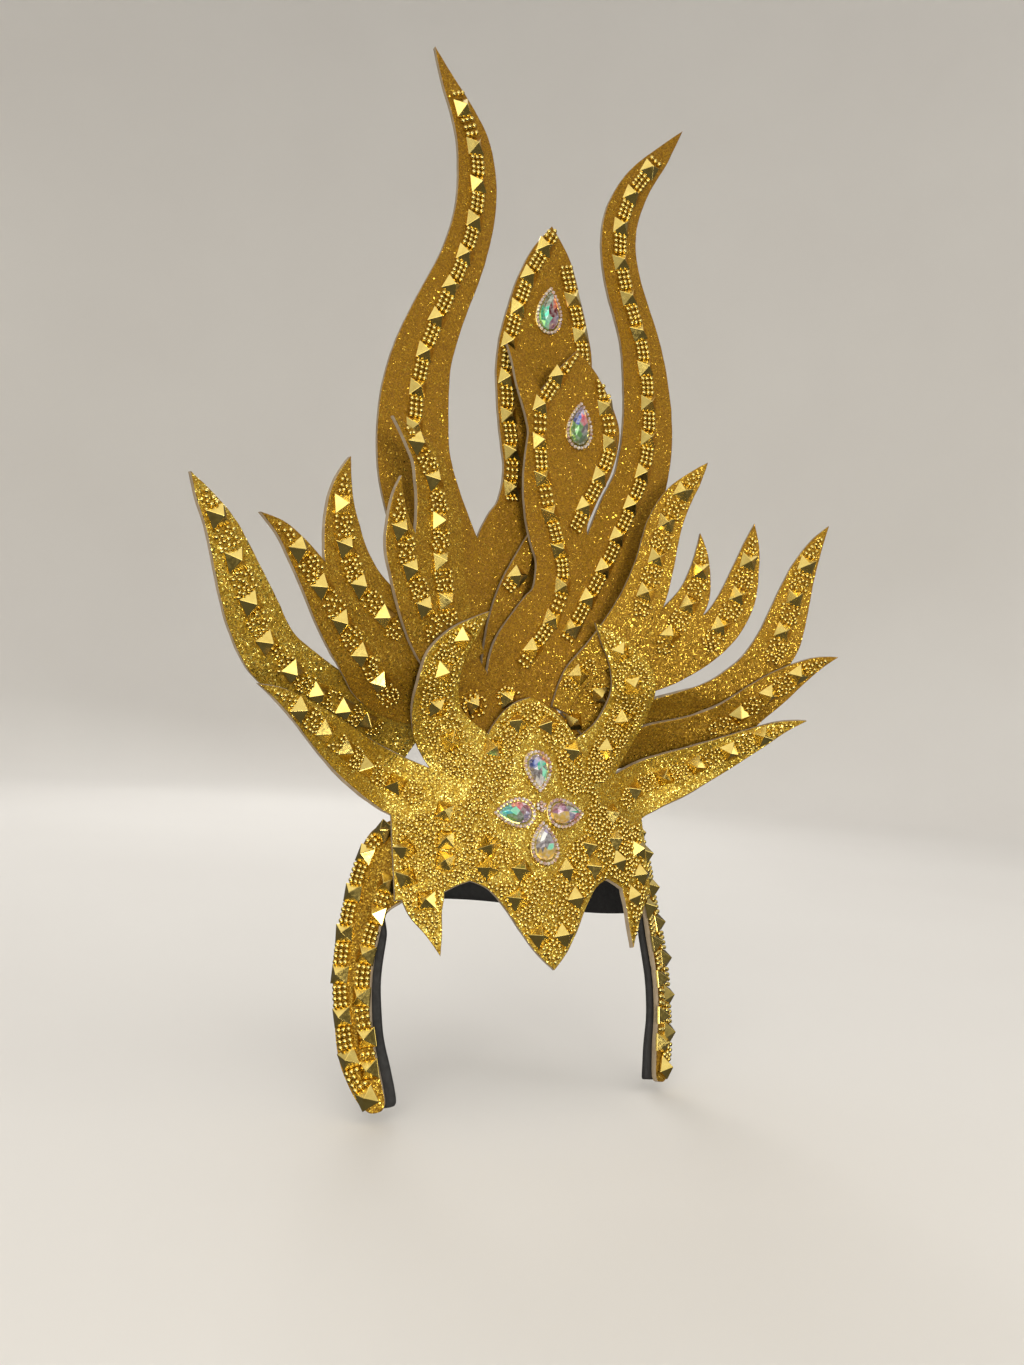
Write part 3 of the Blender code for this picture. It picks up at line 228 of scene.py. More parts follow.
class Sheet:
    """A surface that gives the depth for out and up; the face towards the viewer is its front."""

    def __init__(self, depth, layer):
        self.depth = depth
        self.layer = layer

    def normals(self, flat):
        along_x, along_z = slopes(
            lambda a, b: self.depth(a, b, self.layer), flat[:, 0], flat[:, 1])
        out = np.stack((along_x, -np.ones(len(flat)), along_z), axis=1)
        return out / np.linalg.norm(out, axis=1)[:, None]

    def points(self, flat, out=0.0):
        base = np.stack((flat[:, 0], self.depth(flat[:, 0], flat[:, 1], self.layer), flat[:, 1]), axis=1)
        return base + self.normals(flat) * out

    def place(self, x, z, out=0.0):
        flat = np.array([[x, z]])
        return Vector(self.points(flat, out)[0]), Vector(self.normals(flat)[0])


FRONT = Sheet(crest_depth, 0)
LAYER_1 = Sheet(crest_depth, 1)
LAYER_2 = Sheet(crest_depth, 2)
LAYER_3 = Sheet(crest_depth, SIDE_REAR_LAYER)
TALL_REAR = Sheet(tall_depth, 0)
TALL_MIDDLE = Sheet(tall_depth, 1)
TALL_FRONT = Sheet(tall_depth, 2)

PLATES = {
    "tall_rear_plate": TALL_REAR, "inner_left_flame": TALL_MIDDLE, "tall_front_plate": TALL_FRONT,
    "side_left_rear_plate": LAYER_3, "side_left_middle_plate": LAYER_2,
    "side_left_front_plate": LAYER_1, "side_right_front_plate": LAYER_1,
    "side_right_middle_plate": LAYER_2, "side_right_rear_plate": LAYER_3,
    "side_right_low_plate": LAYER_2, "forehead_plate": FRONT,
}

# Rows of trim that lie on each foam piece
CARRIED = {
    "tall_rear_plate": ("left_tall", "leaf_a_left", "leaf_a_right"),
    "inner_left_flame": ("inner_left",),
    "tall_front_plate": ("right_tall", "leaf_b_stem", "leaf_b_right"),
    "side_left_rear_plate": ("side_left_2",),
    "side_left_middle_plate": ("side_left_3", "side_left_4"),
    "side_left_front_plate": ("side_left_5", "side_left_6"),
    "side_right_front_plate": ("side_right_6", "side_right_6_low"),
    "side_right_middle_plate": ("side_right_5", "side_right_4"),
    "side_right_rear_plate": ("side_right_3",),
    "side_right_low_plate": ("side_right_2",),
    "forehead_plate": ("side_left_1", "side_right_1", "left_horn", "right_horn"),
}
OUTLINES = {}            # filled as the foam pieces are made: their flat cut edges


# Materials

# Sizes of the grain in them
FINE_FLAKE, BIG_FLAKE, GLINT_PATCH = 0.00042, 0.00080, 0.020
FLAKE_RELIEF = 0.00008
EDGE_PORE, PORE_DEPTH, EDGE_STAIN = 0.00035, 0.0001, 0.006
FOAM_CELL, CELL_DEPTH, FOAM_DUST, FOAM_WEAR = 0.0005, 0.00012, 0.012, 0.003
STUD_TONE, STUD_WEAR, HAIRLINE, HAIRLINE_DEPTH = 0.004, 0.0015, 0.0025, 0.00006
BEAD_TONE, BEAD_WEAR = 0.002, 0.001
COAT_PATCH, COAT_WEAR = 0.0022, 0.004
RHINESTONE_CELL = 0.0017

# How rough flakes with and without a glint are, and how much more so the brown ones
SHINE, SHINE_WARM = 0.18, 0.10
DULL, DULL_WARM, DULL_RANGE = 0.38, 0.08, 0.22
FLAKE_METAL = 0.66       # how metallic a flake without a glint is


class Tree:
    """Short way to write the nodes of a material or a world."""

    def __init__(self, owner):
        owner.use_nodes = True
        self.owner, self.tree = owner, owner.node_tree
        self.places = self.node("ShaderNodeTexCoord").outputs

    def put(self, socket, value):
        """Link a value to a socket, or set it there."""
        if isinstance(value, bpy.types.NodeSocket):
            self.tree.links.new(value, socket)
        else:
            socket.default_value = value

    def node(self, kind, values=None, **settings):
        made = self.tree.nodes.new(kind)
        for key, value in settings.items():
            setattr(made, key, value)
        for key, value in (values or {}).items():
            self.put(made.inputs[key], value)
        return made

    def voronoi(self, size):
        values = {"Vector": self.places["Object"], "Scale": 1.0 / size}
        return self.node("ShaderNodeTexVoronoi", values).outputs

    def noise(self, size, detail=2.0):
        values = {"Vector": self.places["Object"], "Scale": 1.0 / size, "Detail": detail}
        return self.node("ShaderNodeTexNoise", values).outputs["Fac"]

    def math(self, operation, a, b):
        return self.node("ShaderNodeMath", {0: a, 1: b}, operation=operation).outputs[0]

    def vector(self, operation, values):
        return self.node("ShaderNodeVectorMath", values, operation=operation).outputs[0]

    def spread(self, value, low, high, out_low, out_high, kind="LINEAR"):
        values = {
            "Value": value, "From Min": low, "From Max": high, "To Min": out_low, "To Max": out_high}
        return self.node("ShaderNodeMapRange", values, interpolation_type=kind).outputs["Result"]

    def uneven(self, size, detail, start, low, high):
        """A value that wanders between low and high; noise below start gives the low one."""
        return self.spread(self.noise(size, detail), start, 0.7, low, high)

    def mix(self, share, a, b):
        return self.node("ShaderNodeMix", {"Factor": share, 6: a, 7: b}, data_type="RGBA").outputs[2]

    def ramp(self, value, stops):
        made = self.node("ShaderNodeValToRGB", {"Fac": value})
        band = made.color_ramp
        while len(band.elements) < len(stops):
            band.elements.new(0.5)
        for element, (place, color) in zip(band.elements, stops):
            element.position = place
            element.color = color
        return made.outputs["Color"]

    def parts(self, color):
        return self.node("ShaderNodeSeparateColor", {"Color": color}).outputs

    def bump(self, height, distance, strength, normal=None):
        values = {"Height": height, "Distance": distance, "Strength": strength}
        if normal is not None:
            values["Normal"] = normal
        return self.node("ShaderNodeBump", values).outputs["Normal"]

    def tilted(self, color, amount):
        """Surface direction turned a little its own way in each flake."""
        centred = self.vector("SUBTRACT", {0: color, 1: (0.5, 0.5, 0.5)})
        scaled = self.vector("SCALE", {0: centred, "Scale": amount})
        normal = self.node("ShaderNodeNewGeometry").outputs["Normal"]
        return self.vector("NORMALIZE", {0: self.vector("ADD", {0: normal, 1: scaled})})

    def shaded(self, **values):
        """Set the shader of a material and give the material back."""
        shader = self.tree.nodes["Principled BSDF"]
        for key, value in values.items():
            self.put(shader.inputs[key.replace("_", " ")], value)
        return self.owner


def material_tree(name):
    return Tree(bpy.data.materials.new(name))


def linear(red, green, blue):
    """Colour from screen values of 0 to 255."""
    values = []
    for part in (red, green, blue):
        part /= 255.0
        values.append(part / 12.92 if part <= 0.04045 else ((part + 0.055) / 1.055) ** 2.4)
    return (*values, 1.0)


def glitter_foam(label, painted_shade, fine_dull, big_dull, tilt):
    """Gold glitter bonded over foam: each flake has its own tilt and tone.

    The tones go from yellow gold to brown gold as the browning value grows; that browning is painted
    shade for pieces that stand less in the light. fine_dull and big_dull are the shares of fine and of
    big flakes without a glint.
    """
    t = material_tree("glitter_foam_" + label)

    def gold(yellow, brown):
        return linear(*(a + (b - a) * painted_shade for a, b in zip(yellow, brown)))

    def tones(value, middle, *golds):
        places = (0.0, middle, 1.0)
        return t.ramp(value, [(place, gold(*pair)) for place, pair in zip(places, golds)])

    fine, big = t.voronoi(FINE_FLAKE), t.voronoi(BIG_FLAKE)
    fine_pick, big_pick = t.parts(fine["Color"]), t.parts(big["Color"])
    base = t.mix(
        0.50,
        tones(big_pick["Red"], 0.5, ((118, 84, 14), (108, 70, 5)), ((166, 126, 26), (134, 92, 8)),
              ((216, 178, 52), (164, 118, 12))),
        tones(fine_pick["Green"], 0.6, ((96, 68, 10), (88, 56, 4)), ((174, 132, 30), (142, 98, 9)),
              ((238, 206, 74), (186, 140, 16))))
    patch = t.spread(t.noise(GLINT_PATCH, 3.0), 0.35, 0.65, 0.03, -0.015)
    glint = t.math(
        "MAXIMUM", t.math("GREATER_THAN", t.math("ADD", big_pick["Green"], patch), big_dull),
        t.math("GREATER_THAN", t.math("ADD", fine_pick["Red"], patch), fine_dull))
    base = t.mix(glint, base, gold((255, 236, 128), (218, 174, 58)))
    dull, shine = DULL + DULL_WARM * painted_shade, SHINE + SHINE_WARM * painted_shade
    rough = t.spread(fine_pick["Blue"], 0.0, 1.0, dull, dull + DULL_RANGE)
    rough = t.mix(glint, rough, (shine, shine, shine, 1.0))
    metal = t.spread(glint, 0.0, 1.0, FLAKE_METAL, 1.0)
    normal = t.bump(fine["Distance"], FLAKE_RELIEF, 0.6, t.tilted(big["Color"], tilt))
    return t.shaded(Base_Color=base, Roughness=rough, Metallic=metal, Normal=normal)


def foam_edge():
    """Cut face of the foam: pale, dull, with fine pores."""
    t = material_tree("foam_cut_edge")
    base = t.mix(t.noise(EDGE_STAIN), linear(172, 156, 132), linear(128, 110, 86))
    pores = t.bump(t.voronoi(EDGE_PORE)["Distance"], PORE_DEPTH, 0.8)
    return t.shaded(Base_Color=base, Roughness=0.85, Normal=pores)


def black_foam():
    """Black craft foam: matt, with a fine closed-cell grain and a little dust."""
    t = material_tree("black_foam")
    base = t.mix(t.noise(FOAM_DUST, 4.0), linear(20, 19, 19), linear(40, 38, 37))
    rough = t.uneven(FOAM_WEAR, 2.0, 0.3, 0.62, 0.85)
    grain = t.bump(t.voronoi(FOAM_CELL)["Distance"], CELL_DEPTH, 0.8)
    return t.shaded(Base_Color=base, Roughness=rough, Normal=grain)


def polished_trim():
    """Studs: bright metallised plastic, with hairlines and a little wear."""
    t = material_tree("polished_stud")
    base = t.mix(t.noise(STUD_TONE, 3.0), linear(250, 226, 134), linear(218, 184, 92))
    rough = t.uneven(STUD_WEAR, 3.0, 0.35, 0.14, 0.26)
    hairlines = t.bump(t.noise(HAIRLINE), HAIRLINE_DEPTH, 0.5)
    return t.shaded(Base_Color=base, Roughness=rough, Metallic=1.0, Normal=hairlines)


def bead_trim():
    """Round metallised beads."""
    t = material_tree("gold_bead")
    base = t.mix(t.noise(BEAD_TONE, 3.0), linear(248, 228, 142), linear(206, 172, 84))
    rough = t.uneven(BEAD_WEAR, 2.0, 0.35, 0.12, 0.24)
    return t.shaded(Base_Color=base, Roughness=rough, Metallic=1.0)


# Colours that the coating of a crystal shows; the palest one is a painted glint, a facet flashing with
# light
COATINGS = {
    "teal": (70, 196, 160), "mint": (150, 240, 200), "cyan": (96, 214, 226),
    "moss": (116, 132, 108), "leaf": (120, 172, 104), "blue": (84, 104, 178),
    "lilac": (158, 146, 176), "mauve": (164, 116, 140), "rose": (232, 118, 132),
    "salmon": (232, 124, 96), "wine": (120, 48, 56), "amber": (240, 200, 104),
    "smoke": (132, 124, 126), "white": (238, 240, 236),
}


def coated_crystal(label):
    """Facet of a coated stone in one of its colours."""
    t = material_tree("crystal_" + label)
    full = linear(*COATINGS[label])
    pale = (*(0.62 * c + 0.30 for c in full[:3]), 1.0)
    base = t.mix(t.spread(t.noise(COAT_PATCH, 1.0), 0.42, 0.62, 0.0, 1.0), full, pale)
    rough = t.uneven(COAT_WEAR, 2.0, 0.3, 0.03, 0.08)
    return t.shaded(
        Base_Color=base, Roughness=rough, Metallic=0.55, Coat_Weight=1.0, Coat_Roughness=0.02)


def rhinestone_glass():
    """Tiny clear stones with a faint pink coat."""
    t = material_tree("rhinestone")
    base = t.ramp(t.parts(t.voronoi(RHINESTONE_CELL)["Color"])["Red"], [
        (0.0, linear(196, 150, 142)), (0.5, linear(232, 214, 206)), (1.0, linear(250, 248, 244))])
    return t.shaded(Base_Color=base, Roughness=0.08, Metallic=0.55, Coat_Weight=1.0)


# One glitter in three copies with painted light: the bright copy for lit pieces, the brown copy paints
# shade, the middle copy paints half shade
GLITTER_PAINTED_LIT = glitter_foam("bright", painted_shade=0.0, fine_dull=0.86, big_dull=0.95, tilt=0.75)
GLITTER_PAINTED_SHADE = glitter_foam("brown", painted_shade=0.85, fine_dull=0.972, big_dull=0.998, tilt=0.48)
GLITTER_PAINTED_HALF_SHADE = glitter_foam("middle", painted_shade=0.65, fine_dull=0.89, big_dull=0.985, tilt=0.60)
CUT_EDGE = foam_edge()
BLACK = black_foam()
POLISHED = polished_trim()
BEADED = bead_trim()
FACETS = {label: coated_crystal(label) for label in COATINGS}
RHINESTONE = rhinestone_glass()


# Meshes

def in_scene(name, data):
    obj = bpy.data.objects.new(name, data)
    bpy.context.scene.collection.objects.link(obj)
    return obj


def new_piece(name, mesh, materials, slot, *nodes):
    """Put a mesh in the scene as a piece that stands for the nodes."""
    obj = in_scene(name, mesh)
    for material in materials:
        mesh.materials.append(material)
    if nodes:
        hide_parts(*nodes)
    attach(obj, "root")
    return obj


def merged(name):
    """A node's mesh with the points that the file splits joined again."""
    bm = bmesh.new()
    bm.from_mesh(NODES[name].data)
    bmesh.ops.remove_doubles(bm, verts=bm.verts[:], dist=SAME_POINT)
    return bm


def around(count):
    """Each place round a ring of that many, with the one after it."""
    return [(k, (k + 1) % count) for k in range(count)]


def circle(radius, sides, turn=0.0):
    """Flat places round a circle, turned by a share of the step between them."""
    angles = [2.0 * math.pi * (k + turn) / sides for k in range(sides)]
    return [(radius * math.cos(angle), radius * math.sin(angle)) for angle in angles]


def stacked(rings):
    """Mesh through rings of flat places at given heights, closed below and above."""
    bm = bmesh.new()
    loops = [[bm.verts.new((*place, height)) for place in places] for places, height in rings]
    for low, high in zip(loops, loops[1:]):
        for k, n in around(len(low)):
            bm.faces.new((low[k], low[n], high[n], high[k]))
    bm.faces.new(loops[0][::-1])
    bm.faces.new(loops[-1])
    return bm


def spline(points, step):
    """Smooth path through unevenly spaced points, with new points about a step apart."""
    points = np.array(points, dtype=float)
    moved = np.linalg.norm(np.diff(points, axis=0), axis=1) > SAME_POINT
    points = points[np.concatenate(([True], moved))]
    gaps = np.linalg.norm(np.diff(points, axis=0), axis=1)
    counts = [max(1, round(gap / step)) for gap in gaps.tolist()]
    if len(points) == 2:
        start, whole = points[0], points[1] - points[0]
        return np.array([start + whole * k / counts[0] for k in range(counts[0] + 1)])
    spans = np.sqrt(gaps)
    rates = np.diff(points, axis=0) / spans[:, None]
    heads = np.empty_like(points)
    heads[1:-1] = (
        rates[:-1] * spans[1:, None] + rates[1:] * spans[:-1, None]) / (spans[:-1] + spans[1:])[:, None]
    heads[0] = 1.5 * rates[0] - 0.5 * heads[1]
    heads[-1] = 1.5 * rates[-1] - 0.5 * heads[-2]
    path = []
    for i, (count, span) in enumerate(zip(counts, spans)):
        share = (np.arange(count) / count)[:, None]
        path.append(hermite(points[i], heads[i] * span, points[i + 1], heads[i + 1] * span, share))
    return np.vstack(path + [points[-1:]])


def spaced(path, pitch):
    """Places a pitch apart along a path, each with the next point of the path."""
    travelled, due = 0.0, 0.0
    for a, b in zip(path, path[1:]):
        if travelled >= due:
            yield a, b
            due += pitch
        travelled += math.dist(a, b)


def flat_loops(name, sheet, facing, out):
    """Outlines of a node's face on one side of its sheet, as flat out and up places."""
    bm = merged(name)
    verts, faces = bm.verts[:], bm.faces[:]
    corners = np.array([v.co[:] for v in verts])[:, (0, 2)]
    spots = corners
    for _ in range(FLAT_ROUNDS):
        spots = corners - sheet.normals(spots)[:, (0, 2)] * out
    flat = {vert: tuple(spot) for vert, spot in zip(verts, spots.tolist())}
    middles = np.array([f.calc_center_median()[:] for f in faces])[:, (0, 2)]
    turned = np.array([f.normal[:] for f in faces]) * sheet.normals(middles)
    cosines = turned.sum(axis=1) * facing
    shown = dict.fromkeys(face for face, cosine in zip(faces, cosines) if cosine > FACE_ON)
    after = {}
    for face in shown:
        for loop in face.loops:
            if not any(f in shown for f in loop.edge.link_faces if f is not face):
                after[loop.vert] = loop.link_loop_next.vert
    loops = []
    while after:
        here, chain = next(iter(after)), []
        while here in after:
            chain.append(flat[here])
            here = after.pop(here)
        loops.append(chain)
    bm.free()
    return [loop for loop in loops if len(loop) > 3]


def turns(points, least):
    """Numbers of the points where a closed outline turns by more than an angle."""
    found = []
    for i, b in enumerate(points):
        a, c = points[i - 1], points[(i + 1) % len(points)]
        turn = math.atan2(c[1] - b[1], c[0] - b[0]) - math.atan2(b[1] - a[1], b[0] - a[0])
        if abs((turn + math.pi) % (2.0 * math.pi) - math.pi) > least:
            found.append(i)
    return found


def smooth_loop(loop):
    """Closed outline with its straight cuts rounded and its real corners kept."""
    points = []
    for p in loop:
        if not points or math.dist(p, points[-1]) > SAME_PLACE:
            points.append(p)
    points = [points[i] for i in turns(points, STRAIGHT_TURN)]
    corners = turns(points, CORNER_TURN)
    path = []
    for a, b in zip(corners, corners[1:] + [corners[0] + len(points)]):
        path.extend(spline([points[i % len(points)] for i in range(a, b + 1)], CUT_STEP)[:-1])
    return np.array(path)


def edge_normals(loop):
    """Directions out of a closed outline that runs with its inside on the left."""
    before = loop - np.roll(loop, 1, axis=0)
    after = np.roll(loop, -1, axis=0) - loop
    total = np.zeros_like(loop)
    for part in (before, after):
        part = part / np.maximum(np.linalg.norm(part, axis=1), 1e-9)[:, None]
        total += np.stack((part[:, 1], -part[:, 0]), axis=1)
    return total / np.maximum(np.linalg.norm(total, axis=1), 1e-9)[:, None]


def inside(points, loops):
    """Which flat points lie within the outlines, holes left out."""
    hit = np.zeros(len(points), dtype=bool)
    x, z = points[:, 0], points[:, 1]
    for loop in loops:
        for a, b in zip(loop, np.roll(loop, -1, axis=0)):
            if a[1] != b[1]:
                crosses = (z < a[1]) != (z < b[1])
                hit ^= crosses & (x < a[0] + (z - a[1]) * (b[0] - a[0]) / (b[1] - a[1]))
    return hit


def distance(points, loops):
    """Distance of flat points from the nearest place on the outlines."""
    best = np.full(len(points), FAR)
    for loop in loops:
        for a, b in zip(loop, np.roll(loop, -1, axis=0)):
            along = b - a
            share = np.clip(((points - a) @ along) / max(float(along @ along), 1e-12), 0.0, 1.0)
            best = np.minimum(best, np.linalg.norm(points - a - share[:, None] * along, axis=1))
    return best


def well_inside(points, loops, margin):
    """Which flat points lie within the outlines by more than a margin."""
    hit = inside(points, loops)
    hit[hit] = distance(points[hit], loops) > margin
    return hit


def lattice(loops):
    """Flat points in staggered rows over the box round the outlines."""
    low = np.min(np.vstack(loops), axis=0)
    high = np.max(np.vstack(loops), axis=0)
    rows = []
    z, odd = low[1], False
    while z < high[1]:
        xs = np.arange(low[0] + (FILL_STEP / 2.0 if odd else 0.0), high[0], FILL_STEP)
        rows.append(np.stack((xs, np.full(len(xs), z)), axis=1))
        z, odd = z + FILL_STEP * ROW_RISE, not odd
    return np.vstack(rows)


def triangulated(outlines):
    """Places over the area within outlines, with the places that each stands for, and triangles."""
    grid = lattice(outlines)
    grid = grid[well_inside(grid, outlines, FILL_STEP * RIM_ROOM)]
    ties, start = [], 0
    for loop in outlines:
        ties += [(start + a, start + b) for a, b in around(len(loop))]
        start += len(loop)
    verts, _, faces, sources = geometry.delaunay_2d_cdt(
        [Vector(p) for p in np.vstack((*outlines, grid))], ties, [], 1, 1e-7)[:4]
    flat = np.array([tuple(v) for v in verts])
    kept = inside(np.array([flat[list(face)].mean(axis=0) for face in faces]), outlines)
    return flat, sources, [face for face, keep in zip(faces, kept) if keep]


def cut_by_hand(loop):
    """An outline that wavers a little, and the shift of its places that rounds its rim."""
    out = edge_normals(loop)
    waver = np.array([noise.noise(Vector((*p, 0.0)) * WAVERS) for p in loop])[:, None] * HAND_CUT
    return loop + out * waver, -out * EDGE_ROUND


def painted_light_glitter_of(name, sheet):
    """Bright glitter as painted light on the forehead piece and the rear one on the left, brown as
    painted shade on the tall ones, painted half shade on the rest.
    """
    if name in ("forehead_plate", "side_left_rear_plate"):
        return GLITTER_PAINTED_LIT
    return GLITTER_PAINTED_SHADE if sheet in (TALL_REAR, TALL_MIDDLE, TALL_FRONT) else GLITTER_PAINTED_HALF_SHADE


def foam_sheet(name, sheet):
    """One foam piece: outline cut by hand, glitter face, pale cut edge and rounded rims."""
    cuts = [cut_by_hand(smooth_loop(loop)) for loop in flat_loops(name, sheet, 1, 0.0)]
    OUTLINES[name] = [outline for outline, _ in cuts]
    rim_shift = np.vstack([shift for _, shift in cuts])
    flat, sources, faces = triangulated(OUTLINES[name])
    shift = np.zeros_like(flat)
    for i, places in enumerate(sources):
        for place in places:
            if place < len(rim_shift):
                shift[i] = rim_shift[place]
    sides = dict.fromkeys((face[k], face[n]) for face in faces for k, n in around(3))
    rims = [(a, b) for a, b in sides if (b, a) not in sides]

    count = len(flat)
    points = np.vstack((
        sheet.points(flat + shift, 0.0), sheet.points(flat, -EDGE_ROUND),
        sheet.points(flat, -FOAM + EDGE_ROUND), sheet.points(flat + shift, -FOAM)))
    quads, kinds = [], []
    for face in faces:
        quads += [tuple(face), tuple(v + 3 * count for v in reversed(face))]
        kinds += [0, 2]
    for a, b in rims:
        for layer, kind in enumerate((0, 1, 1)):
            base, top = layer * count, (layer + 1) * count
            quads.append((b + base, a + base, a + top, b + top))
            kinds.append(kind)
    used = sorted({v for quad in quads for v in quad})
    number = {v: i for i, v in enumerate(used)}
    mesh = bpy.data.meshes.new(name + "_foam")
    mesh.from_pydata(points[used].tolist(), [], [[number[v] for v in quad] for quad in quads])
    mesh.polygons.foreach_set("material_index", kinds)
    mesh.shade_smooth()
    mesh.set_sharp_from_angle(angle=RIM_SMOOTH)
    new_piece(name + "_foam", mesh, (painted_light_glitter_of(name, sheet), CUT_EDGE, BLACK), "glitter_foam", name)


def face_groups(bm):
    """Faces of a mesh in groups that no fold divides, the largest first."""
    groups, seen = [], set()
    for face in bm.faces:
        if face in seen:
            continue
        group, todo = [], [face]
        seen.add(face)
        while todo:
            here = todo.pop()
            group.append(here)
            for edge in here.edges:
                if edge.calc_face_angle() < FOLD:
                    new = [other for other in edge.link_faces if other not in seen]
                    seen.update(new)
                    todo += new
        groups.append(group)
    return sorted(groups, key=lambda g: -sum(f.calc_area() for f in g))


def faces_out(group):
    """Whether a group of faces looks away from the middle of the crown."""
    return sum(f.normal.xy.dot(f.calc_center_median().xy) * f.calc_area() for f in group) > 0.0


def rounded_sheet(name, materials, slot):
    """A bent strip of foam taken from its node, with its surfaces made round."""
    bm = merged(name)
    groups = face_groups(bm)
    for face in bm.faces:
        face.material_index = 1
        face.smooth = True
    for group in groups[:2]:
        kind = 0 if faces_out(group) else 2
        for face in group:
            face.material_index = kind
    crease = bm.edges.layers.float.new("crease_edge")
    for edge in bm.edges:
        kinds = {face.material_index for face in edge.link_faces}
        edge[crease] = SOFT_CREASE if len(kinds) > 1 or edge.calc_face_angle() > FOLD else 0.0
    bmesh.ops.join_triangles(
        bm, faces=bm.faces[:], cmp_seam=False, cmp_sharp=False, cmp_uvs=False, cmp_vcols=False,
        cmp_materials=True, angle_face_threshold=SMOOTH, angle_shape_threshold=SKEW)
    mesh = bpy.data.meshes.new(name + "_foam")
    bm.to_mesh(mesh)
    bm.free()
    obj = new_piece(name + "_foam", mesh, materials, slot, name)
    step = obj.modifiers.new("round", "SUBSURF")
    step.levels = step.render_levels = 2
    applied = bpy.data.meshes.new_from_object(obj.evaluated_get(bpy.context.evaluated_depsgraph_get()))
    obj.modifiers.clear()
    obj.data = applied
    applied.set_sharp_from_angle(angle=SMOOTH)
    return obj


# Trim

def stud_mesh():
    """Pyramid stud on a low skirt, its ridges and rim rounded."""
    bm = bmesh.new()
    half = STUD / 2.0
    foot, rim = [
        [bm.verts.new((a * half, b * half, height)) for a, b in ((-1, -1), (1, -1), (1, 1), (-1, 1))]
        for height in (-SUNK, STUD_SKIRT)]
    apex = bm.verts.new((0.0, 0.0, STUD_TOP))
    for k, n in around(4):
        bm.faces.new((foot[k], foot[n], rim[n], rim[k]))
        bm.faces.new((rim[k], rim[n], apex))
    bm.faces.new(foot[::-1])
    ridges = [edge for edge in bm.edges if all(v not in foot for v in edge.verts)]
    bmesh.ops.bevel(bm, geom=ridges, offset=STUD_ROUND, segments=2, profile=0.5, affect="EDGES")
    return bm


def bead_mesh(sides, rings):
    """Round bead, cut off where it is glued down."""
    bm = bmesh.new()
    radius, lowest = BEAD / 2.0, -math.asin(BEAD_SEAT)
    middle = radius * BEAD_SEAT
    loops = []
    for r in range(rings):
        angle = lowest + (0.5 * math.pi - lowest) * r / rings
        height = middle + radius * math.sin(angle)
        places = circle(radius * math.cos(angle), sides, 0.5 * r)
        loops.append([bm.verts.new((*place, height)) for place in places])
    top = bm.verts.new((0.0, 0.0, middle + radius))
    bm.faces.new(loops[0][::-1])
    for low, high in zip(loops, loops[1:]):
        for k, n in around(sides):
            bm.faces.new((low[k], low[n], high[k]))
            bm.faces.new((low[n], high[n], high[k]))
    for k, n in around(sides):
        bm.faces.new((loops[-1][k], loops[-1][n], top))
    for face in bm.faces:
        face.smooth = len(face.verts) == 3
    return bm


class Stamp:
    """Copies of small shapes collected in one mesh."""

    def __init__(self, seats=()):
        self.points, self.faces, self.kinds, self.smooth = [], [], [], []
        for seat in seats:
            self.add(STUD_SHAPE, seat, 0)

    def add(self, shape, matrix, kind):
        points, faces, smooth = shape
        start = len(self.points)
        self.points.extend(tuple(matrix @ p) for p in points)
        self.faces.extend(tuple(v + start for v in face) for face in faces)
        self.kinds.extend(kind if isinstance(kind, list) else [kind] * len(faces))
        self.smooth.extend(smooth)

    def piece(self, name, materials, slot, *nodes):
        mesh = bpy.data.meshes.new(name)
        mesh.from_pydata(self.points, [], self.faces)
        mesh.polygons.foreach_set("material_index", self.kinds)
        mesh.polygons.foreach_set("use_smooth", self.smooth)
        new_piece(name, mesh, materials, slot, *nodes)

    def trim(self, name, *nodes):
        self.piece(name, (POLISHED, BEADED), "stud_trim", *nodes)


def shape_of(bm):
    """Points, faces and smoothness of a small mesh, to be stamped."""
    bm.verts.index_update()
    shape = (
        [v.co.copy() for v in bm.verts],
        [tuple(v.index for v in face.verts) for face in bm.faces],
        [face.smooth for face in bm.faces])
    bm.free()
    return shape


STUD_SHAPE = shape_of(stud_mesh())
BEAD_SHAPE = shape_of(bead_mesh(sides=12, rings=5))
SMALL_BEAD_SHAPE = shape_of(bead_mesh(sides=10, rings=4))


def stand(place, out, along):
    """Matrix that stands a shape on a place, facing out and turned along a row."""
    side = out.cross(along).normalized()
    along = side.cross(out).normalized()
    matrix = Matrix((along, side, out)).transposed().to_4x4()
    matrix.translation = place
    return matrix


def turned(seat, twist, rng):
    """A seat twisted and leaned a little, as studs set by hand are."""
    seat = seat @ Matrix.Rotation(rng.gauss(0.0, twist), 4, "Z")
    return seat @ Matrix.Rotation(rng.gauss(0.0, STUD_LEAN), 4, "X")


def find_studs(name):
    """Base centre and direction out of each pyramid in a node, in row order, and all its points."""
    bm = merged(name)
    found = []
    for vert in bm.verts:
        near = [edge.other_vert(vert) for edge in vert.link_edges]
        if len(near) != 4:
            continue
        middle = sum((v.co for v in near), Vector()) / 4.0
        up = vert.co - middle
        wide = sorted((v.co - middle).length for v in near)
        square = wide[0] > STUD * CORNER_LEAST and wide[3] < STUD * CORNER_MOST
        if square and abs(up.length - STUD_HEIGHT) < STUD_FIT:
            found.append((middle, up.normalized()))
    points = [v.co.copy() for v in bm.verts]
    bm.free()
    if len(found) > 2:
        rest = found
        found = [max(rest, key=lambda f: sum((f[0] - g[0]).length for g in rest))]
        while len(found) < len(rest):
            left = [f for f in rest if f not in found]
            found.append(min(left, key=lambda f: (f[0] - found[-1][0]).length))
    return found, points


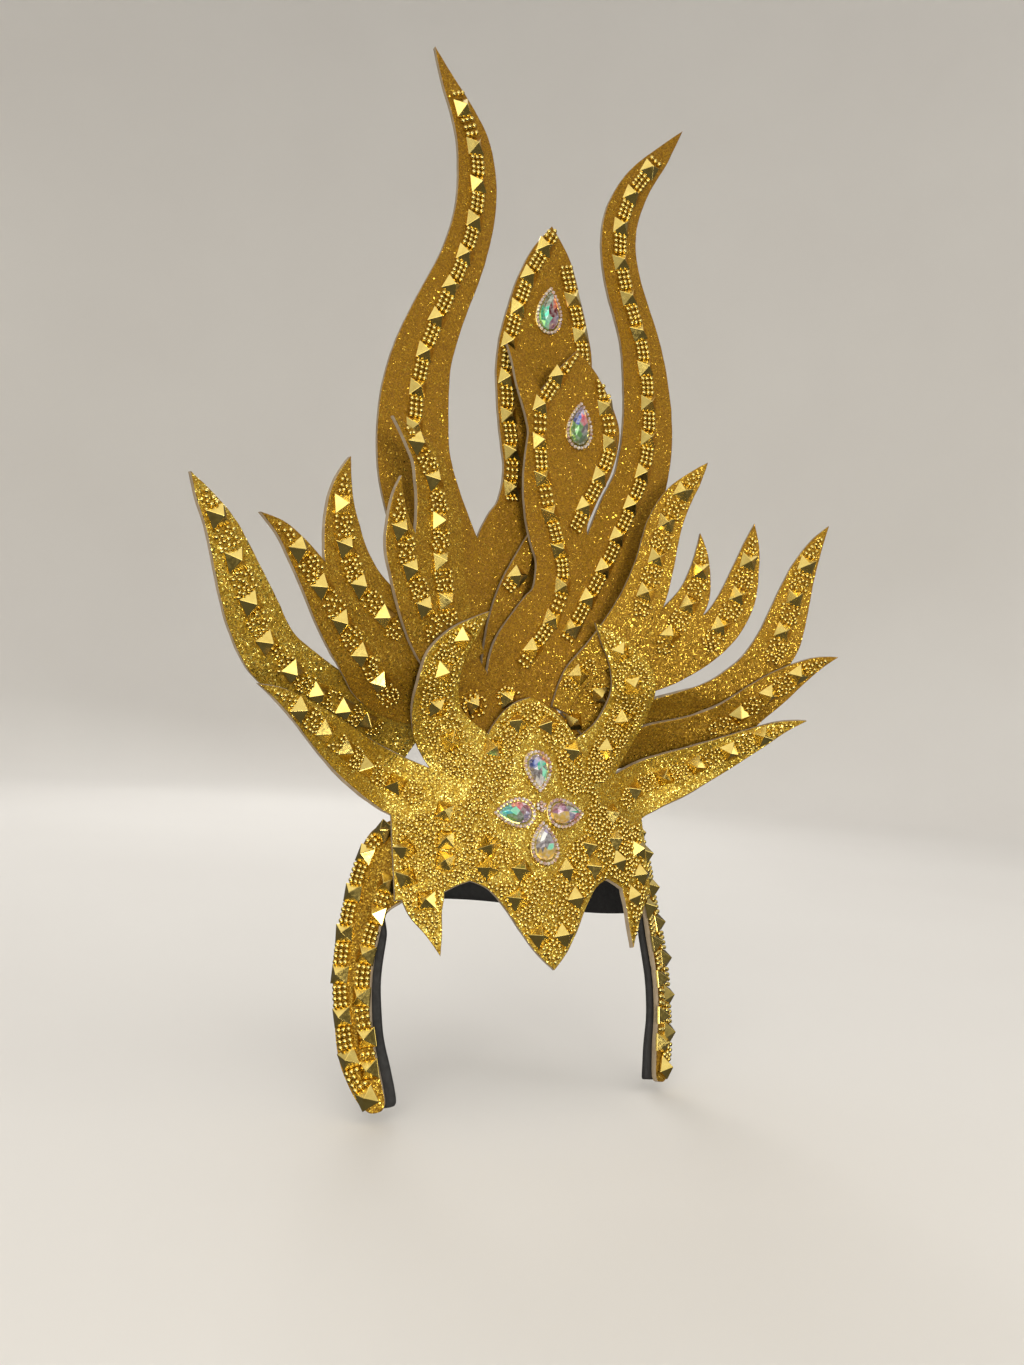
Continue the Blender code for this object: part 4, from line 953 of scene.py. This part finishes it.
def row_ends(centres, points):
    """How far a row of trim runs past its first and last studs."""
    reach = []
    for here, other in ((centres[0], centres[1]), (centres[-1], centres[-2])):
        ahead = (here - other).normalized()
        near = [p - here for p in points if (p - here).length < ROW_END]
        reach.append(max(gap.dot(ahead) for gap in near))
    return reach


def under(sheet, points):
    """Flat places under points that stand off a sheet."""
    points = np.array([tuple(p) for p in points])
    spots = points[:, (0, 2)]
    for _ in range(UNDER_ROUNDS):
        normals = sheet.normals(spots)
        off = ((points - sheet.points(spots)) * normals).sum(axis=1)
        spots = points[:, (0, 2)] - normals[:, (0, 2)] * off[:, None]
    return spots


class Line:
    """Middle line of a row of trim on its foam, with the direction out at each place."""

    def __init__(self, points, normals):
        self.points = np.array(points)
        self.normals = np.array(normals)
        steps = np.linalg.norm(np.diff(self.points, axis=0), axis=1)
        self.lengths = np.concatenate(([0.0], np.cumsum(steps)))
        self.total = float(self.lengths[-1])

    def at(self, s):
        i = int(np.clip(np.searchsorted(self.lengths, s) - 1, 0, len(self.points) - 2))
        t = (s - self.lengths[i]) / (self.lengths[i + 1] - self.lengths[i])
        along = self.points[i + 1] - self.points[i]
        turn = self.normals[i + 1] - self.normals[i]
        out = Vector(self.normals[i] + turn * np.clip(t, 0.0, 1.0))
        return Vector(self.points[i] + along * t), out.normalized(), Vector(along).normalized()

    def nearest(self, point):
        gaps = np.linalg.norm(self.points - np.array(point), axis=1)
        return float(self.lengths[int(np.argmin(gaps))])


def sheet_line(sheet, centres, reach):
    """Line of a row that lies on a sheet."""
    flat = under(sheet, centres)
    first, last = flat[0] - flat[1], flat[-1] - flat[-2]
    head = flat[0] + first / np.linalg.norm(first) * reach[0]
    tail = flat[-1] + last / np.linalg.norm(last) * reach[1]
    path = spline(np.vstack(([head], flat, [tail])), LINE_STEP)
    return Line(sheet.points(path), sheet.normals(path))


def guard_line(studs):
    """Line of a row on a cheek guard, from its studs."""
    seats = [centre - out * (GUARD_SEAM + TAPE) for centre, out in studs]
    first = (seats[0] - seats[1]).normalized() * ROW_SPARE
    last = (seats[-1] - seats[-2]).normalized() * ROW_SPARE
    path = [seats[0] + first] + seats + [seats[-1] + last]
    normals = [studs[0][1]] + [out for _, out in studs] + [studs[-1][1]]
    places = spline([(*p, *n) for p, n in zip(path, normals)], LINE_STEP)
    return Line(places[:, :3], places[:, 3:])


def dropped(matrix, tree):
    """A matrix moved straight down onto the foam below it, or nothing if there is none."""
    out = matrix.col[2].xyz.normalized()
    hit = tree.ray_cast(matrix.translation + out * DROP_FROM, -out, DROP_REACH)[0]
    if hit is None:
        return None
    matrix = matrix.copy()
    matrix.translation = hit
    return matrix


def near_stud(matrix, place):
    """Whether a small bead at a place would run into a stud."""
    gap = place - matrix.translation
    if gap.length > STUD:
        return False
    return max(abs(gap.dot(matrix.col[0].xyz)), abs(gap.dot(matrix.col[1].xyz))) < STUD / 2.0 + SMALL_GAP


def scattered(spots, sheet, studs, rng, stamp):
    """Small beads packed at random over flat places of a sheet, clear of the studs."""
    taken = np.full((1, 3), FAR)
    for place, out in zip(sheet.points(spots), sheet.normals(spots)):
        gap = float(np.min(np.linalg.norm(taken - place, axis=1)))
        spot = Vector(place)
        if gap < BEAD * SMALL_BEAD * PACKING or noise.noise(spot * BARE_SCALE) < BARE_BELOW:
            continue
        if any(near_stud(matrix, spot) for matrix in studs):
            continue
        taken = np.vstack((taken, [place]))
        size = Matrix.Scale(SMALL_BEAD * rng.uniform(*SMALL_SIZES), 4)
        stamp.add(SMALL_BEAD_SHAPE, stand(spot, Vector(out), ACROSS) @ size, 1)


def random_spots(middles, reach, loops, margin, rng):
    """Flat places spread at random over the box round some others, well within the outlines."""
    low, high = middles.min(axis=0) - reach, middles.max(axis=0) + reach
    count = int((high[0] - low[0]) * (high[1] - low[1]) * TRIES)
    spots = np.array([(rng.uniform(low[0], high[0]), rng.uniform(low[1], high[1])) for _ in range(count)])
    return spots[well_inside(spots, loops, margin)]


def in_view(name, spots):
    """Which flat places on a piece of foam have no other piece close in front of them."""
    seen = well_inside(spots, OUTLINES[name], COVER_MARGIN) & ~inside(spots, OUTLINES["forehead_trim"])
    depth = PLATES[name].points(spots)[:, 1]
    for other, sheet in PLATES.items():
        if other != name:
            over = inside(spots, OUTLINES[other]) | (distance(spots, OUTLINES[other]) < UNDER_MARGIN)
            seen &= ~(over & (sheet.points(spots)[:, 1] < depth))
    return seen


def scattered_round(plate, middles, reach, seats, rng, stamp):
    """Small beads that far round some places on a piece of foam, where nothing covers it."""
    spots = random_spots(middles, reach, OUTLINES[plate], COVER_MARGIN, rng)
    near = np.linalg.norm(spots[:, None, :] - middles[None, :, :], axis=2).min(axis=1)
    spots = spots[near < reach]
    scattered(spots[in_view(plate, spots)], PLATES[plate], seats, rng, stamp)


def loose_studs(plate):
    """Single studs among scattered beads, down on a piece of foam."""
    rng, seats = random.Random(plate), []
    middles = np.array(LOOSE_STUDS[plate])
    for x, z in middles:
        turn = Matrix.Rotation(rng.uniform(-LOOSE_TWIST, LOOSE_TWIST), 4, "Z")
        seats.append(stand(*PLATES[plate].place(x, z), ACROSS) @ turn)
    stamp = Stamp(seats)
    scattered_round(plate, middles, LOOSE_COVER, seats, rng, stamp)
    stamp.trim(plate + "_loose_studs")


def added_studs(name, tree):
    """Studs that go on with a row on a cheek guard, down on its foam."""
    side, _, edge, _ = name.split("_")
    toward = 1.0 if side == "left" else -1.0
    found = []
    for y, z in GUARD_STUDS[edge]:
        place, out, _, _ = tree.ray_cast(Vector((-toward, y, z)), Vector((toward, 0.0, 0.0)))
        found.append((place + out * (GUARD_SEAM + TAPE), out))
    return found


def lay_row(name, plate=None, tree=None):
    """Middle line of a row of trim, how far along it the studs are, and their seats.

    A row lies on a foam piece or, on a cheek guard, on the faces of a tree.
    """
    studs, points = find_studs(name)
    if plate is None:
        studs = sorted(studs + added_studs(name, tree), key=lambda stud: stud[0].z)
        line = guard_line(studs)
    else:
        centres = [centre for centre, _ in studs]
        if len(studs) == 1:
            spread = max((p - centres[0] for p in points), key=lambda d: d.length)
            centres.append(centres[0] + spread.normalized() * (STUD / 2.0))
            reach = [ROW_SPARE, 0.0]
        else:
            reach = row_ends(centres, points)
        margins = distance(under(PLATES[plate], (centres[0], centres[-1])), OUTLINES[plate])
        reach = [r + (TIP_REACH if m < TIP_MARGIN else 0.0) for r, m in zip(reach, margins)]
        line = sheet_line(PLATES[plate], centres, reach)
    stations = [line.nearest(centre) for centre, _ in studs]
    rng, seats = random.Random(name), []
    for s in stations:
        seat = turned(stand(*line.at(s)), STUD_TWIST, rng)
        seats.append((dropped(seat, tree) if tree else None) or seat)
    return line, stations, seats


def scattered_row(name, plate, reach):
    """A row of studs with small beads scattered that far to both sides of it."""
    line, _, seats = lay_row(name, plate)
    stamp = Stamp(seats)
    scattered_round(plate, under(PLATES[plate], line.points), reach, seats, random.Random(name), stamp)
    stamp.trim(name + "_row", name)


def bead_block(line, start, stop, rng):
    """Seats of the beads, three abreast, between two places along a line."""
    found = []
    columns = int((stop - start) / (BEAD * BEAD_ALONG))
    for c in range(columns):
        middle, out, along = line.at(start + (stop - start) * (c + 0.5) / columns)
        side = out.cross(along).normalized()
        for r in (-1, 0, 1):
            stray = Vector([rng.uniform(-BEAD_STRAY, BEAD_STRAY) for _ in range(3)])
            place = middle + (side * (r * BEAD * BEAD_ACROSS) + stray)
            found.append(stand(place, out, along) @ Matrix.Scale(rng.uniform(*BEAD_SIZES), 4))
    return found


def trim_row(name, row, plate=None, tree=None, clear=()):
    """A row of studs with blocks of beads between them, clear of other studs nearby."""
    line, stations, seats = row
    rng, stamp = random.Random(name), Stamp(seats)
    starts = [0.0] + [s + STUD / 2.0 for s in stations]
    stops = [s - STUD / 2.0 for s in stations] + [line.total]
    beads = [m for start, stop in zip(starts, stops) for m in bead_block(line, start, stop, rng)]
    if plate is not None and beads:
        spots = np.array([(m.translation.x, m.translation.z) for m in beads])
        beads = [m for m, keep in zip(beads, well_inside(spots, OUTLINES[plate], BEAD_MARGIN)) if keep]
    if tree is not None:
        beads = [m for m in (dropped(bead, tree) for bead in beads) if m is not None]
    for bead in beads:
        if not any(near_stud(seat, bead.translation) for seat in clear):
            stamp.add(BEAD_SHAPE, bead, 1)
    stamp.trim(name + "_row", name)


def guard_trim(side, guard):
    """Both rows of trim on a cheek guard."""
    tree = BVHTree.FromPolygons(
        [v.co for v in guard.data.vertices], [tuple(p.vertices) for p in guard.data.polygons])
    names = [side + "_guard_" + edge + "_trim" for edge in ("outer", "inner")]
    rows = [lay_row(name, tree=tree) for name in names]
    for name, row, other in zip(names, rows, rows[::-1]):
        trim_row(name, row, tree=tree, clear=other[2])


# Rows of studs over the forehead, left side: out (share of the brow half), up (share of drop)
BROW_STUDS = (
    ((-0.92, -0.20), (-0.72, -0.05), (-0.50, -0.02), (-0.29, -0.24), (-0.13, -0.60), (-0.03, -0.84)),
    ((-0.92, 0.06), (-0.68, 0.17), (-0.45, 0.16), (-0.24, 0.00), (-0.08, -0.28)),
    ((-0.66, 0.44), (-0.48, 0.36)),
    ((-0.12, 1.36), (-0.30, 1.14), (-0.38, 0.80)),
    ((-0.80, -0.40), (-0.76, -0.66)),
)


def brow_seats(rng):
    """Where the studs over the forehead stand."""
    seats = []
    for row in BROW_STUDS:
        for side in (1.0, -1.0):
            path = spline([(side * out * BROW_HALF, up * BROW_DROP) for out, up in row], BROW_STEP)
            for a, b in spaced(path, STUD_PITCH):
                place, out = FRONT.place(*a)
                ahead, _ = FRONT.place(*(a + (b - a) / np.linalg.norm(b - a) * LOOK_AHEAD))
                seats.append(turned(stand(place, out, (ahead - place).normalized()), BROW_TWIST, rng))
    return seats


def forehead_covering():
    """Studs over the forehead with small beads packed between them on the foam."""
    name = "forehead_trim"
    loops = [smooth_loop(loop) for loop in flat_loops(name, FRONT, -1, TRIM_SEAM)]
    OUTLINES[name] = loops
    rng = random.Random(name)
    seats = brow_seats(rng)
    stamp = Stamp(seats)
    scattered(random_spots(np.vstack(loops), 0.0, loops, BROW_MARGIN, rng), FRONT, seats, rng, stamp)
    stamp.trim("forehead_covering", name)


# Crystals

EMBLEM_STONE = (0.0062, 0.0090)     # half-width and half-length
LEAF_STONE = (0.0062, 0.0108)
STONE_SIDES = 14
STONE_HEIGHT = 0.0062
STONE_SEAT = 0.0010
STONE_HEART = -0.12      # where the facets of the table meet, as a share of the half-length
PEAR_WIDTH, PEAR_POINT = 1.16, 0.8  # how wide and how pointed a pear outline is

# Girdle, crown and table of a stone: size and height as shares, and half steps turned
STONE_LEVELS = ((1.0, 0.0, 0), (1.0, 0.22, 0), (0.80, 0.70, 1), (0.50, 1.0, 0))
BORDER = 0.0034          # width of the border round a stone
BORDER_BASE = 0.0012
BORDER_SIDES = 40
BORDER_EDGE, BORDER_RING = 0.80, 0.50           # shares of it out to its edge and to its stones
RING_STEPS = 200
BORDER_LEVELS = ((1.0, 0.0), (1.0, 0.0008), (0.96, 0.0011))     # share of the size, and height
RHINESTONE_RADIUS = 0.00100
RHINESTONE_SIDES = 8
RHINESTONE_LEVELS = ((1.0, 0.0), (1.0, 0.0005), (0.55, 0.0012))
RHINESTONE_PITCH = 0.00225
CLUSTER_UP = 0.0186      # from the lowest stone of the emblem to the middle of the cluster on it
CLUSTER_PITCH = 0.00205

# Stones: out and up as shares, the turn of the point in degrees, and patches of colour with their places
# across and up the stone, as shares of its half-length; the palest patches are painted glints
EMBLEM = {
    "top": (0.0, 0.88, 180.0, (
        (-0.4, 0.3, "blue"), (-0.3, -0.2, "smoke"), (0.2, -0.3, "mint"), (0.0, -0.7, "white"),
        (0.35, 0.1, "moss"), (0.3, 0.6, "salmon"), (-0.1, 0.8, "lilac"), (0.0, 0.1, "teal"))),
    "left": (-0.195, 0.46, 90.0, (
        (-0.5, 0.1, "cyan"), (-0.3, -0.3, "leaf"), (0.0, 0.35, "rose"), (0.1, -0.3, "moss"),
        (0.5, 0.2, "mauve"), (0.5, -0.3, "lilac"), (-0.1, 0.0, "mint"), (0.3, 0.0, "wine"))),
    "right": (0.195, 0.46, -90.0, (
        (-0.5, 0.2, "mauve"), (-0.4, -0.3, "amber"), (0.0, 0.3, "smoke"), (0.1, -0.3, "lilac"),
        (0.5, 0.1, "teal"), (0.6, -0.2, "rose"), (0.0, 0.0, "white"))),
    "bottom": (0.0, 0.17, 0.0, (
        (-0.3, 0.4, "white"), (-0.4, -0.2, "smoke"), (-0.2, -0.6, "amber"), (0.2, -0.5, "amber"),
        (0.35, 0.0, "mauve"), (0.2, 0.5, "lilac"), (0.0, 0.0, "smoke"), (0.1, -0.2, "mint"))),
}
LEAVES = {
    "leaf_a": (TALL_REAR, 0.025, 0.708, (
        (-0.25, 0.45, "moss"), (-0.35, -0.35, "teal"), (-0.2, -0.6, "mint"), (0.2, 0.4, "salmon"),
        (0.45, 0.0, "amber"), (0.0, -0.25, "wine"), (0.35, -0.4, "lilac"), (0.15, -0.7, "mauve"))),
    "leaf_b": (TALL_FRONT, 0.142, 0.557, (
        (-0.3, 0.35, "blue"), (0.0, 0.3, "rose"), (0.3, 0.5, "smoke"), (-0.3, -0.35, "leaf"),
        (0.1, -0.3, "smoke"), (0.45, -0.1, "amber"), (0.3, -0.6, "moss"), (-0.1, 0.8, "lilac"))),
}


def pear_loop(half_width, half_length, sides):
    """Outline of a pear-cut stone whose point is up."""
    loop = []
    for k in range(sides):
        angle = 2.0 * math.pi * k / sides
        width = half_width * PEAR_WIDTH * math.sin(angle) * math.sin(angle / 2.0) ** PEAR_POINT
        loop.append((width, half_length * math.cos(angle)))
    return loop


def stone_mesh(half_width, half_length, height):
    """Pear-cut stone: girdle, crown facets in two rows set half a step apart, and table."""
    bm = bmesh.new()
    loops = []
    for share, lift, turn in STONE_LEVELS:
        outline = pear_loop(half_width * share, half_length * share, STONE_SIDES * 2)
        loops.append([bm.verts.new((*place, lift * height)) for place in outline[turn::2]])
    foot, girdle, crown, table = loops
    heart = bm.verts.new((0.0, STONE_HEART * half_length, height))
    for k, n in around(STONE_SIDES):
        bm.faces.new((foot[n], foot[k], girdle[k], girdle[n]))
        bm.faces.new((girdle[n], girdle[k], crown[k]))
        bm.faces.new((crown[n], girdle[n], crown[k]))
        bm.faces.new((crown[n], crown[k], table[n]))
        bm.faces.new((table[n], crown[k], table[k]))
        bm.faces.new((table[n], table[k], heart))
    bm.faces.new(foot)
    bmesh.ops.remove_doubles(bm, verts=bm.verts[:], dist=TIP_MERGE)
    bmesh.ops.recalc_face_normals(bm, faces=bm.faces[:])
    return bm


def border_mesh(half_width, half_length):
    """Low base that the stone and its border stand on."""
    bm = stacked([
        (pear_loop(half_width * share, half_length * share, BORDER_SIDES)[::-1], height)
        for share, height in BORDER_LEVELS])
    bmesh.ops.remove_doubles(bm, verts=bm.verts[:], dist=TIP_MERGE)
    return bm


RHINESTONE_SHAPE = shape_of(stacked([
    (circle(RHINESTONE_RADIUS * share, RHINESTONE_SIDES), height)
    for share, height in RHINESTONE_LEVELS]))


def facet_colors(stone, turn, half_length, patches):
    """The colour of each facet of a stone: that of the patch nearest to it."""
    points, faces, _ = stone
    cos_t, sin_t = math.cos(turn), math.sin(turn)
    colors = []
    for face in faces:
        middle = sum((points[v] for v in face), Vector()) / len(face) / half_length
        seen = (middle.x * cos_t - middle.y * sin_t, middle.x * sin_t + middle.y * cos_t)
        colors.append(min(patches, key=lambda patch: math.dist(seen, patch[:2]))[2])
    return colors


def crystal_piece(node, sheet, spot, turn, size, patches, cluster=()):
    """A coated stone in a border of tiny rhinestones."""
    half_width, half_length = size
    turn = math.radians(turn)
    upright = stand(*sheet.place(*spot), ACROSS)
    matrix = upright @ Matrix.Rotation(turn, 4, "Z")
    stamp = Stamp()
    stone = shape_of(stone_mesh(half_width, half_length, STONE_HEIGHT - STONE_SEAT))
    labels = sorted({label for _, _, label in patches})
    kinds = [2 + labels.index(label) for label in facet_colors(stone, turn, half_length, patches)]
    stamp.add(stone, matrix @ Matrix.Translation((0.0, 0.0, STONE_SEAT)), kinds)
    edge, ring = BORDER * BORDER_EDGE, BORDER * BORDER_RING
    stamp.add(shape_of(border_mesh(half_width + edge, half_length + edge)), matrix, 0)
    path = pear_loop(half_width + ring, half_length + ring, RING_STEPS)
    path += path[:1]
    whole = sum(math.dist(a, b) for a, b in zip(path, path[1:]))
    for (a, b), _ in spaced(path, whole / round(whole / RHINESTONE_PITCH)):
        stamp.add(RHINESTONE_SHAPE, matrix @ Matrix.Translation((a, b, BORDER_BASE)), 1)
    for a, b in cluster:
        place, out = sheet.place(spot[0] + a, spot[1] + b, BORDER_BASE)
        stamp.add(RHINESTONE_SHAPE, stand(place, out, upright.col[0].xyz), 1)
    materials = [BEADED, RHINESTONE] + [FACETS[label] for label in labels]
    stamp.piece(node + "_stone", materials, "crystal", node)


def crystals():
    ring = [(b, CLUSTER_UP + a) for a, b in circle(CLUSTER_PITCH, 6)]
    for label, (out, up, turn, patches) in EMBLEM.items():
        cluster = [(0.0, CLUSTER_UP)] + ring if label == "bottom" else ()
        spot = (out * BROW_HALF, up * BROW_DROP)
        crystal_piece("emblem_" + label + "_crystal", FRONT, spot, turn, EMBLEM_STONE, patches, cluster)
    for label, (sheet, out, up, patches) in LEAVES.items():
        crystal_piece(label + "_crystal", sheet, (out * REACH, up * RISE), 0.0, LEAF_STONE, patches)


# Stage, light and camera

STAGE_RADII = (0.6, 1.2, 1.9)       # of the rings in the flat floor
STAGE_CURVE = 0.8
STAGE_STEPS = 12
STAGE_HEIGHT = 3.0
STAGE_SIDES = 96
FLOOR_GAP = 0.002
STAIN_SIZE = 0.4
CEILING = 1.00           # brightness of the room overhead, to its left, and elsewhere
WINDOW = 0.55
DARK = 0.10
ROOM_TINT = (1.0, 0.975, 0.94, 1.0)
LIGHT_AIM = Vector((0.0, 0.0, 0.08))
WARM, PALE, WHITE = (1.0, 0.97, 0.88), (1.0, 0.98, 0.94), (1.0, 1.0, 1.0)

# Place, size in metres, power in watts and colour
LIGHTS = {
    "key": ((-0.95, -1.30, 0.50), (1.2, 1.2), 9.5, WARM),
    "front": ((-0.05, -1.42, 0.05), (0.5, 0.4), 9.0, WARM),
    "fill": ((1.5, -0.9, 0.3), (0.6, 0.6), 2.5, PALE),
    "back": ((0.3, 1.7, 1.1), (0.9, 0.9), 10.0, WHITE),
}
CAMERA_PLACE = (-0.2578, -0.5658, 0.0759)
CAMERA_AHEAD = Vector((0.4264, 0.9041, 0.0291))
CAMERA_RIGHT = Vector((0.902, -0.427, 0.0615))
LENS, SENSOR, CLIP_START = 28.0, 36.0, 0.01     # millimetres, and metres for the last


def stage():
    """Plain pale floor that curves up all round into a plain wall."""
    floor = CAD_LOW.z - FLOOR_GAP
    profile = [(radius, floor) for radius in STAGE_RADII]
    for k in range(1, STAGE_STEPS + 1):
        angle = 0.5 * math.pi * k / STAGE_STEPS
        radius = STAGE_RADII[-1] + STAGE_CURVE * math.sin(angle)
        profile.append((radius, floor + STAGE_CURVE * (1.0 - math.cos(angle))))
    profile.append((STAGE_RADII[-1] + STAGE_CURVE, floor + STAGE_HEIGHT))
    points = [(0.0, 0.0, floor)]
    points += [(*place, z) for radius, z in profile for place in circle(radius, STAGE_SIDES)]
    faces = [(0, 1 + k, 1 + n) for k, n in around(STAGE_SIDES)]
    for low in range(1, len(points) - STAGE_SIDES, STAGE_SIDES):
        high = low + STAGE_SIDES
        faces += [(low + k, high + k, high + n, low + n) for k, n in around(STAGE_SIDES)]
    mesh = bpy.data.meshes.new("backdrop")
    mesh.from_pydata(points, [], faces)
    mesh.shade_smooth()
    t = material_tree("paper")
    base = t.mix(t.noise(STAIN_SIZE), linear(226, 224, 220), linear(220, 217, 213))
    mesh.materials.append(t.shaded(Base_Color=base, Roughness=0.9))
    backdrop = in_scene("backdrop", mesh)
    backdrop.visible_glossy = False


def light(name, place, size, power, color):
    data = bpy.data.lights.new(name, "AREA")
    data.shape = "RECTANGLE"
    data.size, data.size_y = size
    data.energy = power
    data.color = color
    obj = in_scene(name, data)
    obj.location = place
    obj.rotation_euler = (LIGHT_AIM - Vector(place)).to_track_quat("-Z", "Y").to_euler()


def room():
    """Light of the room itself: a bright soft ceiling, a window on the left, dark below."""
    world = bpy.data.worlds.new("room")
    t = Tree(world)
    axes = t.node("ShaderNodeSeparateXYZ", {0: t.places["Generated"]}).outputs

    def soft(axis, low, high, strength):
        return t.spread(axes[axis], low, high, 0.0, strength, "SMOOTHSTEP")

    ceiling = soft("Z", 0.30, 0.80, CEILING)
    window = t.math("MULTIPLY", soft("X", -0.55, -0.90, WINDOW), soft("Z", -0.20, 0.05, 1.0))
    background = t.tree.nodes["Background"]
    t.put(background.inputs["Color"], ROOM_TINT)
    t.put(background.inputs["Strength"], t.math("ADD", t.math("ADD", ceiling, window), DARK))
    bpy.context.scene.world = world
    bpy.context.scene.view_settings.view_transform = "Standard"


def camera():
    """Camera where the photograph was taken from."""
    data = bpy.data.cameras.new("camera")
    data.sensor_fit = "VERTICAL"
    data.sensor_height = SENSOR
    data.lens = LENS
    data.clip_start = CLIP_START
    obj = in_scene("camera", data)
    ahead = CAMERA_AHEAD.normalized()
    right = (CAMERA_RIGHT - ahead * CAMERA_RIGHT.dot(ahead)).normalized()
    matrix = Matrix((right, right.cross(ahead), -ahead)).transposed().to_4x4()
    matrix.translation = CAMERA_PLACE
    obj.matrix_world = matrix
    bpy.context.scene.camera = obj


def build():
    for name, sheet in PLATES.items():
        foam_sheet(name, sheet)
    # The cheek guards get the glitter copy with painted half shade
    guards = {
        side: rounded_sheet(side + "_cheek_guard", (GLITTER_PAINTED_HALF_SHADE, CUT_EDGE, BLACK), "glitter_foam")
        for side in ("left", "right")}
    for name in ("left_guard_lining", "right_guard_lining", "nape_band"):
        rounded_sheet(name, (BLACK, BLACK, BLACK), "black_foam")
    forehead_covering()
    for plate, rows in CARRIED.items():
        for row in rows:
            name = row + "_trim"
            if row.endswith("_horn"):
                scattered_row(name, plate, HORN_COVER)
            elif row.startswith("side_"):
                scattered_row(name, plate, FLAME_COVER)
            else:
                trim_row(name, lay_row(name, plate), plate)
    for plate in LOOSE_STUDS:
        loose_studs(plate)
    for side, guard in guards.items():
        guard_trim(side, guard)
    crystals()
    stage()
    room()
    for name, settings in LIGHTS.items():
        light(name, *settings)
    camera()


build()
